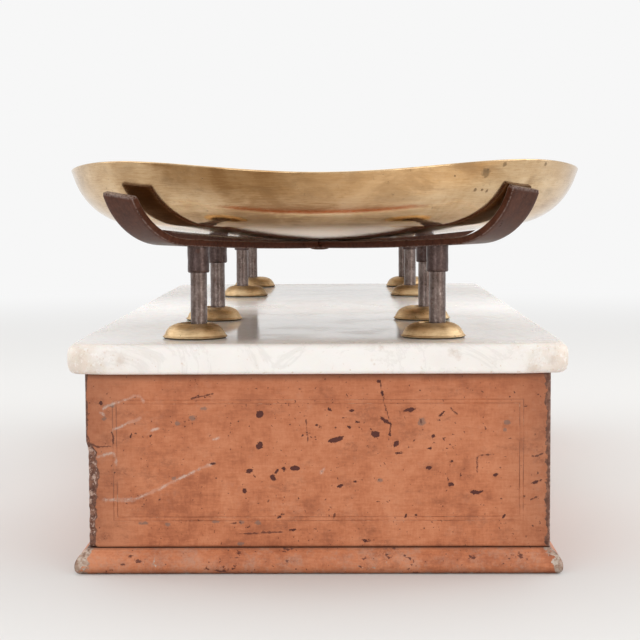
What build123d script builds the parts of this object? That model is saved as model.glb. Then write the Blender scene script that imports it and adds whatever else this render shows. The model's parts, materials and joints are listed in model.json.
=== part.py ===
from build123d import *
from math import atan2, cos, degrees, radians, sin, sqrt, tan
import os

# Counter balance of the Beranger type, 19th century: a painted wooden case with a marble top,
# eight iron rods that rise through it, two iron cradles that slip over the rods, and two brass
# pans that lie in the cradles.  The main beam, the auxiliary levers and their links are inside.
# Millimetres.  X is the width, Y the length, +Z up, the origin under the middle of the case.
# "near" is the -Y end and "far" the +Y end, "left" is -X and "right" is +X.

os.makedirs("parts", exist_ok=True)

# ---- Driving dimensions ---------------------------------------------------------------------

# Marble top
SLAB_WIDTH = 300.0
SLAB_LENGTH = 664.0
SLAB_THICKNESS = 18.2
SLAB_OVERHANG = 9.9
SLAB_CORNER_RADIUS = 8.0
SLAB_TOP_ROUND = 4.0
SLAB_BOTTOM_ROUND = 2.5

# Wooden case
BOARD_HEIGHT = 106.4
BOARD_THICKNESS = 14.0
BOARD_EDGE_ROUND = 1.5
GROOVE_INSET = 17.0
GROOVE_SPACING = 2.4
GROOVE_WIDTH = 0.8
GROOVE_DEPTH = 0.7
PLINTH_HEIGHT = 15.2
PLINTH_PROJECTION = 7.0
PLINTH_WIDTH = 34.0
PLINTH_NOSE_HEIGHT = 8.5
PLINTH_NOSE_ROUND = 2.8
FLOOR_THICKNESS = 12.0
CORNER_BLOCK_SIZE = 20.0

# Index window in the right-hand side board
WINDOW_LENGTH = 90.0
WINDOW_HEIGHT = 38.0
WINDOW_CORNER_RADIUS = 10.0
WINDOW_CENTRE_Z = 70.0
BEZEL_WIDTH = 9.0
BEZEL_THICKNESS = 3.0
BEZEL_EDGE_ROUND = 1.0
BEZEL_SCREW_DIAMETER = 3.0
BEZEL_SCREW_HEAD = 5.5
BEZEL_SCREW_HEAD_HEIGHT = 1.4
BEZEL_SCREW_LENGTH = 12.0
GLASS_THICKNESS = 2.5
GLASS_MARGIN = 7.0

# Rods, one square of four under each pan, whose centre is this far in from the slab's end
PAN_END_MARGIN = 120.0
ROD_SPACING = 148.0
ROD_DIAMETER = 10.5
ROD_RISE = 55.9
ROD_TAIL = 2.0
ROD_HOLE_CLEARANCE = 0.05
NUT_ACROSS_FLATS = 17.0
NUT_HEIGHT = 5.0

# Brass escutcheons round the rods
ESCUTCHEON_DIAMETER = 40.5
ESCUTCHEON_HEIGHT = 9.4
ESCUTCHEON_HOLE = 18.0
ESCUTCHEON_SHEET = 1.2
ESCUTCHEON_SHIFT = 2.6

# Cradles: two crossed flat bars with sockets
BAR_WIDTH = 28.0
BAR_THICKNESS = 4.5
BAR_RISE = 53.6
BAR_ARM_START = 128.0
BAR_ARM_RADIUS = 45.0
BAR_TIP_SLOPE = 74.0
LAP_CLEARANCE = 0.05
SOCKET_DIAMETER = 14.0
SOCKET_BOTTOM_RISE = 40.6
SOCKET_CLEARANCE = 0.3
RIVET_DIAMETER = 9.0
RIVET_HEAD_DIAMETER = 14.0
RIVET_HEAD_HEIGHT = 1.6
RIVET_HEAD_TAPER = 45.0
BAR_ANGLE = 45.0

# Pans
DISH_RADIUS = 1900.0
PAN_WALL_START = 115.8
PAN_WALL_RADIUS = 55.0
PAN_WALL_SLOPE = 70.0
PAN_SHEET = 1.4
PAN_END_HEIGHT = 101.0
PAN_SIDE_HEIGHT = 104.2
PAN_CORNER_HEIGHT = 108.6
PAN_SHIFT = 3.5
PAN_TRIM = 3.0
SEAT_GAP = 0.3

# Knives, beam and levers.  The beam's end knife lies KNIFE_OFFSET beyond a pan's centre, and the
# lever's load knife as far short of it.
KNIFE_OFFSET = 38.0
KNIFE_WIDTH = 8.0
KNIFE_HEIGHT = 10.0
BEAM_PIVOT_Z = 78.0
BEAM_GAUGE = 104.0
BEAM_PLATE = 8.0
BEAM_DEPTH_MIDDLE = 36.0
BEAM_DEPTH_END = 18.0
BEAM_TOP_ABOVE_PIVOT = 4.0
BEAM_END_MARGIN = 12.0
BEAM_MIDDLE_HALF = 28.0
BEAM_CROWN_HALF = 14.0
BEAM_CROWN_MARGIN = 10.0
BEAM_CORNER_ROUND = 4.0
FULCRUM_Y = 50.0
LEVER_PIVOT_Z = 46.0
LEVER_PLATE = 8.0
LEVER_DEPTH = 21.0
LEVER_BELOW_PIVOT = 15.0
LEVER_CORNER_ROUND = 2.0
LEVER_HUMP = 10.0
LEVER_HUMP_HALF = 12.0
LEVER_END_MARGIN = 12.0
LEVER_TAIL = 18.0
CENTRE_KNIFE_LENGTH = 142.0
END_KNIFE_LENGTH = 116.0
LEVER_KNIFE_LENGTH = 38.0
FULCRUM_KNIFE_LENGTH = 42.0

# Links between the beam and the levers
LINK_PLATE = 5.0
LINK_GAUGE = 24.0
LINK_EYE_WIDTH = 16.0
LINK_RIM = 7.0

# Bearings and stands
VEE_HALF_ANGLE = 60.0
VEE_DEPTH = 4.4
BEARING_LENGTH = 12.0
BEARING_WIDTH = 18.0
BEARING_GAUGE = 76.0
CENTRE_BEARING_GAUGE = 130.0
CENTRE_BEARING_DEPTH = 14.0
STAND_WIDTH = 28.0
STAND_FOOT_MARGIN = 10.0
STAND_FOOT_WIDTH = 40.0
STAND_FOOT_HEIGHT = 6.8
STAND_POST = 14.0
BED_WIDTH = 168.0
BED_LENGTH = 150.0
BED_THICKNESS = 8.0
BED_CORNER_RADIUS = 10.0
FULCRUM_FOOT_WIDTH = 70.0
FULCRUM_FOOT_HEIGHT = 5.0
FULCRUM_CHEEK = 6.0
FULCRUM_CHEEK_GAUGE = 30.0
FULCRUM_CHEEK_WIDTH = 22.0
FULCRUM_EYE = 14.0
BOLT_DIAMETER = 6.0
BOLT_HEAD = 11.0
BOLT_HEAD_HEIGHT = 4.0
BOLT_EDGE_DISTANCE = 8.25
SCREW_DIAMETER = 5.0
SCREW_HEAD = 10.0
SCREW_HEAD_HEIGHT = 3.0
SCREW_HEAD_TAPER = 30.0
SCREW_LENGTH = 9.0

# Carrier under each pan
CARRIER_THICKNESS = 8.0
CARRIER_ARM = 24.0
CARRIER_SPINE = 36.0
CARRIER_CORNER_ROUND = 6.0
HANGER_WIDTH = 32.0
HANGER_DEPTH = 18.0
HANGER_SLOT = 13.0
HANGER_SLOT_HEIGHT = 20.0

# Index needles
NEEDLE_DIAMETER = 4.0
NEEDLE_ARM_Y = 36.0
NEEDLE_X = 100.0
NEEDLE_TIP_Y = 4.0
NEEDLE_TAPER = 14.0
NEEDLE_TIP_DIAMETER = 1.0
NEEDLE_BEND = 6.0

# ---- Places that follow from the driving dimensions -------------------------------------------

SLAB_BOTTOM = PLINTH_HEIGHT + BOARD_HEIGHT
SLAB_TOP = SLAB_BOTTOM + SLAB_THICKNESS
CASE_WIDTH = SLAB_WIDTH - 2 * SLAB_OVERHANG
CASE_LENGTH = SLAB_LENGTH - 2 * SLAB_OVERHANG
INNER_WIDTH = CASE_WIDTH - 2 * BOARD_THICKNESS
INNER_LENGTH = CASE_LENGTH - 2 * BOARD_THICKNESS
PLINTH_OUTER_WIDTH = CASE_WIDTH + 2 * PLINTH_PROJECTION
PLINTH_OUTER_LENGTH = CASE_LENGTH + 2 * PLINTH_PROJECTION
FLOOR_WIDTH = PLINTH_OUTER_WIDTH - 2 * PLINTH_WIDTH
FLOOR_LENGTH = PLINTH_OUTER_LENGTH - 2 * PLINTH_WIDTH
BOARD_MIDDLE_Z = PLINTH_HEIGHT + BOARD_HEIGHT / 2
BED_TOP = PLINTH_HEIGHT + BED_THICKNESS
BEZEL_SCREW_DEPTH = BEZEL_SCREW_LENGTH - BEZEL_THICKNESS
PAN_Y = SLAB_LENGTH / 2 - PAN_END_MARGIN
END_KNIFE_Y = PAN_Y + KNIFE_OFFSET
LOAD_KNIFE_Y = PAN_Y - KNIFE_OFFSET

# The link sits where the lever's load knife keeps level with the beam's end knife.
LINK_Y = END_KNIFE_Y * FULCRUM_Y / (END_KNIFE_Y - LOAD_KNIFE_Y + FULCRUM_Y)
SEAT_ABOVE_BEAM = BEAM_PIVOT_Z + SEAT_GAP
SEAT_BELOW_BEAM = BEAM_PIVOT_Z - SEAT_GAP
SEAT_ABOVE_LEVER = LEVER_PIVOT_Z + SEAT_GAP
SEAT_BELOW_LEVER = LEVER_PIVOT_Z - SEAT_GAP
VEE_HALF_WIDTH = VEE_DEPTH * tan(radians(VEE_HALF_ANGLE))
CARRIER_BOTTOM = BEAM_PIVOT_Z + KNIFE_HEIGHT + SEAT_GAP
CARRIER_TOP = CARRIER_BOTTOM + CARRIER_THICKNESS
ROD_BOTTOM = CARRIER_BOTTOM - NUT_HEIGHT - ROD_TAIL
ROD_TOP = SLAB_TOP + ROD_RISE
BAR_BOTTOM = SLAB_TOP + BAR_RISE
BAR_TOP = BAR_BOTTOM + BAR_THICKNESS
PAN_BOTTOM = BAR_TOP + SEAT_GAP
ENDS = (("near", -1), ("far", 1))


def save(builder, name):
    """Label a finished piece and write it."""
    builder.part.label = name
    export_step(builder.part, f"parts/{name}.step")


def rod_places(side):
    """The four rods of one carrier."""
    return [(x, side * PAN_Y + y) for x in (-ROD_SPACING / 2, ROD_SPACING / 2)
            for y in (-ROD_SPACING / 2, ROD_SPACING / 2)]


def knife_points(y, edge_z, up):
    """Section of a knife: a right-angled edge on a rectangular body."""
    half = KNIFE_WIDTH / 2
    down = -1 if up else 1
    shoulder = edge_z + down * half
    heel = edge_z + down * KNIFE_HEIGHT
    return [(y, edge_z), (y + half, shoulder), (y + half, heel), (y - half, heel), (y - half, shoulder)]


def vee_points(y, apex_z, opens):
    """Section of the notch a knife's edge works in; it opens up (1) or down (-1), 1 mm past its mouth."""
    mouth = apex_z + opens * VEE_DEPTH
    beyond = mouth + opens
    return [(y, apex_z), (y + VEE_HALF_WIDTH, mouth), (y + VEE_HALF_WIDTH, beyond),
            (y - VEE_HALF_WIDTH, beyond), (y - VEE_HALF_WIDTH, mouth)]


def bezel_screw_places():
    """Four screws on the window's bezel, as (Y, Z)."""
    reach_y = (WINDOW_LENGTH + BEZEL_WIDTH) / 2
    return [(-reach_y, WINDOW_CENTRE_Z), (reach_y, WINDOW_CENTRE_Z),
            (0, WINDOW_CENTRE_Z - (WINDOW_HEIGHT + BEZEL_WIDTH) / 2),
            (0, WINDOW_CENTRE_Z + (WINDOW_HEIGHT + BEZEL_WIDTH) / 2)]


def bed_screw_places():
    """Four wood screws that hold the iron bed to the floor board."""
    reach_x = BED_WIDTH / 2 - SCREW_HEAD
    reach_y = BED_LENGTH / 2 - SCREW_HEAD
    return [(x, y) for x in (-reach_x, reach_x) for y in (-reach_y, reach_y)]


def centre_bolt_places():
    """Four bolts in the centre stand's foot."""
    reach_x = (CENTRE_BEARING_GAUGE - STAND_POST) / 2 - BOLT_HEAD
    reach_y = STAND_FOOT_WIDTH / 2 - BOLT_EDGE_DISTANCE
    return [(x, y) for x in (-reach_x, reach_x) for y in (-reach_y, reach_y)]


def fulcrum_bolt_places(side):
    """Two bolts in a fulcrum stand's foot."""
    reach_x = FULCRUM_FOOT_WIDTH / 2 - BOLT_EDGE_DISTANCE
    return [(-reach_x, side * FULCRUM_Y), (reach_x, side * FULCRUM_Y)]


def stand_bolt_places():
    """Every bolt in the iron bed."""
    return centre_bolt_places() + fulcrum_bolt_places(-1) + fulcrum_bolt_places(1)


# ---- Case ---------------------------------------------------------------------------------------

with BuildPart() as slab:
    with BuildSketch(Plane.XY.offset(SLAB_BOTTOM)):
        RectangleRounded(SLAB_WIDTH, SLAB_LENGTH, SLAB_CORNER_RADIUS)
    extrude(amount=SLAB_THICKNESS)
    fillet(slab.faces().sort_by(Axis.Z)[-1].edges(), SLAB_TOP_ROUND)
    fillet(slab.faces().sort_by(Axis.Z)[0].edges(), SLAB_BOTTOM_ROUND)
    for side in (-1, 1):
        with Locations(*[(x + side * ESCUTCHEON_SHIFT, y, SLAB_TOP) for x, y in rod_places(side)]):
            Hole(ESCUTCHEON_HOLE / 2, SLAB_THICKNESS)
save(slab, "marble_top")


def case_board(outer_face, length):
    """A board with two incised lines; outer_face is centred on its outer side."""
    with BuildPart() as board:
        with BuildSketch(outer_face):
            Rectangle(length, BOARD_HEIGHT)
        extrude(amount=-BOARD_THICKNESS)
        for inset in (GROOVE_INSET, GROOVE_INSET + GROOVE_SPACING):
            inner_inset = inset + GROOVE_WIDTH
            with BuildSketch(outer_face):
                Rectangle(length - 2 * inset, BOARD_HEIGHT - 2 * inset)
                Rectangle(length - 2 * inner_inset, BOARD_HEIGHT - 2 * inner_inset, mode=Mode.SUBTRACT)
            extrude(amount=-GROOVE_DEPTH, mode=Mode.SUBTRACT)
    return board.part


for end, side in ENDS:
    outer_face = Plane(origin=(0, side * CASE_LENGTH / 2, BOARD_MIDDLE_Z), x_dir=(-side, 0, 0),
                       z_dir=(0, side, 0))
    with BuildPart() as end_board:
        add(case_board(outer_face, CASE_WIDTH))
        uprights = end_board.edges().filter_by(Axis.Z).filter_by(GeomType.LINE)
        corners = [e for e in uprights if abs(abs(e.center().X) - CASE_WIDTH / 2) < 0.01
                   and abs(abs(e.center().Y) - CASE_LENGTH / 2) < 0.01]
        fillet(corners, BOARD_EDGE_ROUND)
    save(end_board, f"case_end_{end}")

for hand, side in (("left", -1), ("right", 1)):
    outer_face = Plane(origin=(side * CASE_WIDTH / 2, 0, BOARD_MIDDLE_Z), x_dir=(0, side, 0),
                       z_dir=(side, 0, 0))
    with BuildPart() as side_board:
        add(case_board(outer_face, INNER_LENGTH))
        if side > 0:
            with BuildSketch(Plane.YZ.offset(CASE_WIDTH / 2)):
                with Locations((0, WINDOW_CENTRE_Z)):
                    RectangleRounded(WINDOW_LENGTH, WINDOW_HEIGHT, WINDOW_CORNER_RADIUS)
            extrude(amount=-BOARD_THICKNESS, mode=Mode.SUBTRACT)
            with BuildSketch(Plane.YZ.offset(CASE_WIDTH / 2)):
                with Locations(*bezel_screw_places()):
                    Circle(BEZEL_SCREW_DIAMETER / 2)
            extrude(amount=-BEZEL_SCREW_DEPTH, mode=Mode.SUBTRACT)
    save(side_board, f"case_side_{hand}")

with BuildPart() as floor_board:
    with BuildSketch(Plane.XY.offset(PLINTH_HEIGHT - FLOOR_THICKNESS)):
        Rectangle(FLOOR_WIDTH, FLOOR_LENGTH)
    extrude(amount=FLOOR_THICKNESS)
    with BuildSketch(Plane.XY.offset(PLINTH_HEIGHT)):
        with Locations(*bed_screw_places()):
            Circle(SCREW_DIAMETER / 2)
    extrude(amount=-SCREW_LENGTH, mode=Mode.SUBTRACT)
save(floor_board, "case_floor")


def plinth_strip(outward, offset, run):
    """A base moulding with mitred ends; run is the length of its outer foot."""
    across = Plane(origin=(0, 0, 0), x_dir=(*outward, 0), z_dir=(outward[1], -outward[0], 0))
    plan = Plane(origin=(0, 0, 0), x_dir=(*outward, 0), z_dir=(0, 0, 1))
    inner = offset - PLINTH_WIDTH
    with BuildPart() as strip:
        with BuildSketch(across) as section:
            with BuildLine():
                Polyline((inner, 0), (offset, 0), (offset, PLINTH_NOSE_HEIGHT),
                         (offset - PLINTH_PROJECTION, PLINTH_HEIGHT), (inner, PLINTH_HEIGHT),
                         close=True)
            make_face()
            nose = section.vertices().sort_by(Axis.X)[-2:]
            fillet(nose, PLINTH_NOSE_ROUND)
        extrude(amount=run / 2, both=True)
        with BuildSketch(plan):
            Polygon((inner, -run / 2 + PLINTH_WIDTH), (offset, -run / 2), (offset, run / 2),
                    (inner, run / 2 - PLINTH_WIDTH), align=None)
        extrude(amount=PLINTH_HEIGHT, mode=Mode.INTERSECT)
    return strip


for name, outward in (("near", (0, -1)), ("far", (0, 1)), ("left", (-1, 0)), ("right", (1, 0))):
    if outward[0]:
        strip = plinth_strip(outward, PLINTH_OUTER_WIDTH / 2, PLINTH_OUTER_LENGTH)
    else:
        strip = plinth_strip(outward, PLINTH_OUTER_LENGTH / 2, PLINTH_OUTER_WIDTH)
    save(strip, f"plinth_{name}")

with BuildPart() as corner_blocks:
    with BuildSketch(Plane.XY.offset(PLINTH_HEIGHT)):
        for x_side in (-1, 1):
            for y_side in (-1, 1):
                corner_x = x_side * INNER_WIDTH / 2
                corner_y = y_side * INNER_LENGTH / 2
                Polygon((corner_x, corner_y), (corner_x - x_side * CORNER_BLOCK_SIZE, corner_y),
                        (corner_x, corner_y - y_side * CORNER_BLOCK_SIZE), align=None)
    extrude(amount=BOARD_HEIGHT)
save(corner_blocks, "corner_blocks")

# ---- Index window -------------------------------------------------------------------------------

with BuildPart() as bezel:
    with BuildSketch(Plane.YZ.offset(CASE_WIDTH / 2)):
        with Locations((0, WINDOW_CENTRE_Z)):
            RectangleRounded(WINDOW_LENGTH + 2 * BEZEL_WIDTH, WINDOW_HEIGHT + 2 * BEZEL_WIDTH,
                             WINDOW_CORNER_RADIUS + BEZEL_WIDTH)
            RectangleRounded(WINDOW_LENGTH, WINDOW_HEIGHT, WINDOW_CORNER_RADIUS,
                             mode=Mode.SUBTRACT)
        with Locations(*bezel_screw_places()):
            Circle(BEZEL_SCREW_DIAMETER / 2, mode=Mode.SUBTRACT)
    extrude(amount=BEZEL_THICKNESS)
    fillet(bezel.faces().sort_by(Axis.X)[-1].outer_wire().edges(), BEZEL_EDGE_ROUND)
save(bezel, "window_bezel")

with BuildPart() as bezel_screws:
    with BuildSketch(Plane.YZ.offset(CASE_WIDTH / 2 + BEZEL_THICKNESS)):
        with Locations(*bezel_screw_places()):
            Circle(BEZEL_SCREW_DIAMETER / 2)
    extrude(amount=-BEZEL_SCREW_LENGTH)
    with BuildSketch(Plane.YZ.offset(CASE_WIDTH / 2 + BEZEL_THICKNESS)):
        with Locations(*bezel_screw_places()):
            Circle(BEZEL_SCREW_HEAD / 2)
    extrude(amount=BEZEL_SCREW_HEAD_HEIGHT, taper=SCREW_HEAD_TAPER)
save(bezel_screws, "bezel_screws")

with BuildPart() as glass:
    with BuildSketch(Plane.YZ.offset(INNER_WIDTH / 2)):
        with Locations((0, WINDOW_CENTRE_Z)):
            Rectangle(WINDOW_LENGTH + 2 * GLASS_MARGIN, WINDOW_HEIGHT + 2 * GLASS_MARGIN)
    extrude(amount=-GLASS_THICKNESS)
save(glass, "window_glass")

# ---- Escutcheons --------------------------------------------------------------------------------


def cap_radius(foot_radius, hole_radius, height):
    """Radius of a spherical cap that is foot_radius wide and reaches height at its hole."""
    drop = (foot_radius ** 2 - hole_radius ** 2 - height ** 2) / (2 * height)
    return sqrt(foot_radius ** 2 + drop ** 2), drop


for end, side in ENDS:
    foot = ESCUTCHEON_DIAMETER / 2
    outer, drop = cap_radius(foot, ESCUTCHEON_HOLE / 2, ESCUTCHEON_HEIGHT)
    with BuildPart() as escutcheons:
        with Locations(*[(x + side * ESCUTCHEON_SHIFT, y, SLAB_TOP - drop)
                         for x, y in rod_places(side)]):
            Sphere(outer)
            Sphere(outer - ESCUTCHEON_SHEET, mode=Mode.SUBTRACT)
            Cylinder(ESCUTCHEON_HOLE / 2, 3 * outer, mode=Mode.SUBTRACT)
        split(bisect_by=Plane.XY.offset(SLAB_TOP), keep=Keep.TOP)
    save(escutcheons, f"escutcheons_{end}")

# ---- Iron bed, stands and bearings --------------------------------------------------------------

with BuildPart() as bed:
    with BuildSketch(Plane.XY.offset(PLINTH_HEIGHT)):
        RectangleRounded(BED_WIDTH, BED_LENGTH, BED_CORNER_RADIUS)
        with Locations(*bed_screw_places()):
            Circle(SCREW_DIAMETER / 2, mode=Mode.SUBTRACT)
        with Locations(*stand_bolt_places()):
            Circle(BOLT_DIAMETER / 2, mode=Mode.SUBTRACT)
    extrude(amount=BED_THICKNESS)
save(bed, "iron_bed")

with BuildPart() as bed_screws:
    with BuildSketch(Plane.XY.offset(BED_TOP)):
        with Locations(*bed_screw_places()):
            Circle(SCREW_DIAMETER / 2)
    extrude(amount=-BED_THICKNESS - SCREW_LENGTH)
    with BuildSketch(Plane.XY.offset(BED_TOP)):
        with Locations(*bed_screw_places()):
            Circle(SCREW_HEAD / 2)
    extrude(amount=SCREW_HEAD_HEIGHT, taper=SCREW_HEAD_TAPER)
save(bed_screws, "bed_screws")

STAND_TOP = SEAT_BELOW_BEAM + VEE_DEPTH - CENTRE_BEARING_DEPTH
with BuildPart() as centre_stand:
    with BuildSketch(Plane.XY.offset(BED_TOP)):
        Rectangle(CENTRE_BEARING_GAUGE + 2 * STAND_FOOT_MARGIN, STAND_FOOT_WIDTH)
    extrude(amount=STAND_FOOT_HEIGHT)
    with BuildSketch(Plane.XY.offset(BED_TOP + STAND_FOOT_HEIGHT)):
        with Locations((-CENTRE_BEARING_GAUGE / 2, 0), (CENTRE_BEARING_GAUGE / 2, 0)):
            Rectangle(STAND_POST, STAND_WIDTH)
    extrude(amount=STAND_TOP - BED_TOP - STAND_FOOT_HEIGHT)
    with BuildSketch(Plane.XY.offset(BED_TOP)):
        with Locations(*centre_bolt_places()):
            Circle(BOLT_DIAMETER / 2)
    extrude(amount=STAND_FOOT_HEIGHT, mode=Mode.SUBTRACT)
save(centre_stand, "centre_stand")

with BuildPart() as centre_bearings:
    for x_side in (-1, 1):
        with BuildSketch(Plane.YZ.offset(x_side * CENTRE_BEARING_GAUGE / 2)):
            with Locations((0, STAND_TOP + CENTRE_BEARING_DEPTH / 2)):
                Rectangle(BEARING_WIDTH, CENTRE_BEARING_DEPTH)
            Polygon(*vee_points(0, SEAT_BELOW_BEAM, 1), align=None, mode=Mode.SUBTRACT)
        extrude(amount=BEARING_LENGTH / 2, both=True)
save(centre_bearings, "centre_bearings")

FULCRUM_FOOT_TOP = BED_TOP + FULCRUM_FOOT_HEIGHT
FULCRUM_EYE_Z = SEAT_ABOVE_LEVER - FULCRUM_EYE / 2
for end, side in ENDS:
    with BuildPart() as fulcrum_stand:
        with BuildSketch(Plane.XY.offset(BED_TOP)):
            with Locations((0, side * FULCRUM_Y)):
                Rectangle(FULCRUM_FOOT_WIDTH, FULCRUM_CHEEK_WIDTH)
            with Locations(*fulcrum_bolt_places(side)):
                Circle(BOLT_DIAMETER / 2, mode=Mode.SUBTRACT)
        extrude(amount=FULCRUM_FOOT_HEIGHT)
        for x_side in (-1, 1):
            with BuildSketch(Plane.YZ.offset(x_side * FULCRUM_CHEEK_GAUGE / 2)):
                with Locations((side * FULCRUM_Y, (FULCRUM_FOOT_TOP + FULCRUM_EYE_Z) / 2)):
                    Rectangle(FULCRUM_CHEEK_WIDTH, FULCRUM_EYE_Z - FULCRUM_FOOT_TOP)
                with Locations((side * FULCRUM_Y, FULCRUM_EYE_Z)):
                    Circle(FULCRUM_CHEEK_WIDTH / 2)
                    Circle(FULCRUM_EYE / 2, mode=Mode.SUBTRACT)
            extrude(amount=FULCRUM_CHEEK / 2, both=True)
    save(fulcrum_stand, f"fulcrum_stand_{end}")

with BuildPart() as stand_bolts:
    for top_z, places in ((BED_TOP + STAND_FOOT_HEIGHT, centre_bolt_places()),
                          (FULCRUM_FOOT_TOP, fulcrum_bolt_places(-1) + fulcrum_bolt_places(1))):
        with BuildSketch(Plane.XY.offset(top_z)):
            with Locations(*places):
                Circle(BOLT_DIAMETER / 2)
        extrude(amount=PLINTH_HEIGHT - top_z)
        with BuildSketch(Plane.XY.offset(top_z)):
            with Locations(*places):
                RegularPolygon(BOLT_HEAD / 2, 6, major_radius=False)
        extrude(amount=BOLT_HEAD_HEIGHT)
save(stand_bolts, "stand_bolts")

# ---- Main beam ----------------------------------------------------------------------------------

BEAM_TOP_END = BEAM_PIVOT_Z + BEAM_TOP_ABOVE_PIVOT
BEAM_BOTTOM_END = BEAM_TOP_END - BEAM_DEPTH_END
BEAM_TOP_MIDDLE = BEAM_BOTTOM_END + BEAM_DEPTH_MIDDLE - BEAM_TOP_ABOVE_PIVOT
BEAM_BOTTOM_MIDDLE = BEAM_TOP_MIDDLE - BEAM_DEPTH_MIDDLE
BEAM_HALF = END_KNIFE_Y + BEAM_END_MARGIN
BEAM_KNIVES = (("centre_knife", 0, False, CENTRE_KNIFE_LENGTH),
               ("end_knife_near", -END_KNIFE_Y, True, END_KNIFE_LENGTH),
               ("end_knife_far", END_KNIFE_Y, True, END_KNIFE_LENGTH),
               ("link_knife_near", -LINK_Y, True, END_KNIFE_LENGTH),
               ("link_knife_far", LINK_Y, True, END_KNIFE_LENGTH))

for hand, x_side in (("left", -1), ("right", 1)):
    with BuildPart() as beam_plate:
        with BuildSketch(Plane.YZ.offset(x_side * BEAM_GAUGE / 2)) as profile:
            with BuildLine():
                Polyline((-BEAM_HALF, BEAM_BOTTOM_END), (-BEAM_MIDDLE_HALF, BEAM_BOTTOM_MIDDLE),
                         (BEAM_MIDDLE_HALF, BEAM_BOTTOM_MIDDLE), (BEAM_HALF, BEAM_BOTTOM_END),
                         (BEAM_HALF, BEAM_TOP_END), (LINK_Y + BEAM_CROWN_MARGIN, BEAM_TOP_END),
                         (BEAM_CROWN_HALF, BEAM_TOP_MIDDLE), (-BEAM_CROWN_HALF, BEAM_TOP_MIDDLE),
                         (-LINK_Y - BEAM_CROWN_MARGIN, BEAM_TOP_END), (-BEAM_HALF, BEAM_TOP_END),
                         close=True)
            make_face()
            fillet(profile.vertices(), BEAM_CORNER_ROUND)
            for name, y, up, length in BEAM_KNIVES:
                Polygon(*knife_points(y, BEAM_PIVOT_Z, up), align=None, mode=Mode.SUBTRACT)
        extrude(amount=BEAM_PLATE / 2, both=True)
    save(beam_plate, f"beam_{hand}")

for name, y, up, length in BEAM_KNIVES:
    with BuildPart() as knife:
        with BuildSketch(Plane.YZ):
            Polygon(*knife_points(y, BEAM_PIVOT_Z, up), align=None)
        extrude(amount=length / 2, both=True)
    save(knife, name)

# ---- Auxiliary levers, links and index needles --------------------------------------------------

LEVER_BOTTOM = LEVER_PIVOT_Z - LEVER_BELOW_PIVOT
LEVER_TOP = LEVER_BOTTOM + LEVER_DEPTH
for end, side in ENDS:
    tail_y = side * (FULCRUM_Y - LEVER_TAIL)
    tip_y = side * (LOAD_KNIFE_Y + LEVER_END_MARGIN)
    lever_knives = ((f"fulcrum_knife_{end}", side * FULCRUM_Y, True, FULCRUM_KNIFE_LENGTH),
                    (f"lever_link_knife_{end}", side * LINK_Y, False, LEVER_KNIFE_LENGTH),
                    (f"load_knife_{end}", side * LOAD_KNIFE_Y, True, LEVER_KNIFE_LENGTH))
    with BuildPart() as lever:
        with BuildSketch(Plane.YZ) as profile:
            with BuildLine():
                Polyline((tail_y, LEVER_BOTTOM), (tip_y, LEVER_BOTTOM), (tip_y, LEVER_TOP),
                         (side * (LINK_Y + LEVER_HUMP_HALF), LEVER_TOP),
                         (side * (LINK_Y + LEVER_HUMP_HALF / 2), LEVER_TOP + LEVER_HUMP),
                         (side * (LINK_Y - LEVER_HUMP_HALF / 2), LEVER_TOP + LEVER_HUMP),
                         (side * (LINK_Y - LEVER_HUMP_HALF), LEVER_TOP), (tail_y, LEVER_TOP),
                         close=True)
            make_face()
            fillet(profile.vertices(), LEVER_CORNER_ROUND)
            for name, y, up, length in lever_knives:
                Polygon(*knife_points(y, LEVER_PIVOT_Z, up), align=None, mode=Mode.SUBTRACT)
        extrude(amount=LEVER_PLATE / 2, both=True)
    save(lever, f"lever_{end}")
    for name, y, up, length in lever_knives:
        with BuildPart() as knife:
            with BuildSketch(Plane.YZ):
                Polygon(*knife_points(y, LEVER_PIVOT_Z, up), align=None)
            extrude(amount=length / 2, both=True)
        save(knife, name)

    eye_length = SEAT_ABOVE_BEAM - SEAT_BELOW_LEVER
    eye_place = (side * LINK_Y, (SEAT_ABOVE_BEAM + SEAT_BELOW_LEVER) / 2)
    with BuildPart() as link:
        for x_side in (-1, 1):
            with BuildSketch(Plane.YZ.offset(x_side * LINK_GAUGE / 2)):
                with Locations(eye_place):
                    SlotOverall(eye_length + 2 * LINK_RIM, LINK_EYE_WIDTH + 2 * LINK_RIM,
                                rotation=90)
                    SlotOverall(eye_length, LINK_EYE_WIDTH, rotation=90, mode=Mode.SUBTRACT)
            extrude(amount=LINK_PLATE / 2, both=True)
    save(link, f"link_{end}")

    arm_z = LEVER_PIVOT_Z
    arm_y = side * NEEDLE_ARM_Y
    taper_y = side * (NEEDLE_TIP_Y + NEEDLE_TAPER)
    with BuildPart() as needle:
        with BuildLine():
            FilletPolyline((LEVER_PLATE / 2, arm_y, arm_z), (NEEDLE_X, arm_y, arm_z),
                           (NEEDLE_X, arm_y, WINDOW_CENTRE_Z), (NEEDLE_X, taper_y, WINDOW_CENTRE_Z),
                           radius=NEEDLE_BEND)
        with BuildSketch(Plane.YZ.offset(LEVER_PLATE / 2)):
            with Locations((arm_y, arm_z)):
                Circle(NEEDLE_DIAMETER / 2)
        sweep()
        with BuildSketch(Plane.XZ.offset(-taper_y)) as thick_end:
            with Locations((NEEDLE_X, WINDOW_CENTRE_Z)):
                Circle(NEEDLE_DIAMETER / 2)
        with BuildSketch(Plane.XZ.offset(-side * NEEDLE_TIP_Y)) as thin_end:
            with Locations((NEEDLE_X, WINDOW_CENTRE_Z)):
                Circle(NEEDLE_TIP_DIAMETER / 2)
        loft(sections=[thick_end.sketch.face(), thin_end.sketch.face()])
    save(needle, f"needle_{end}")

# ---- Carriers -----------------------------------------------------------------------------------

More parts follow.
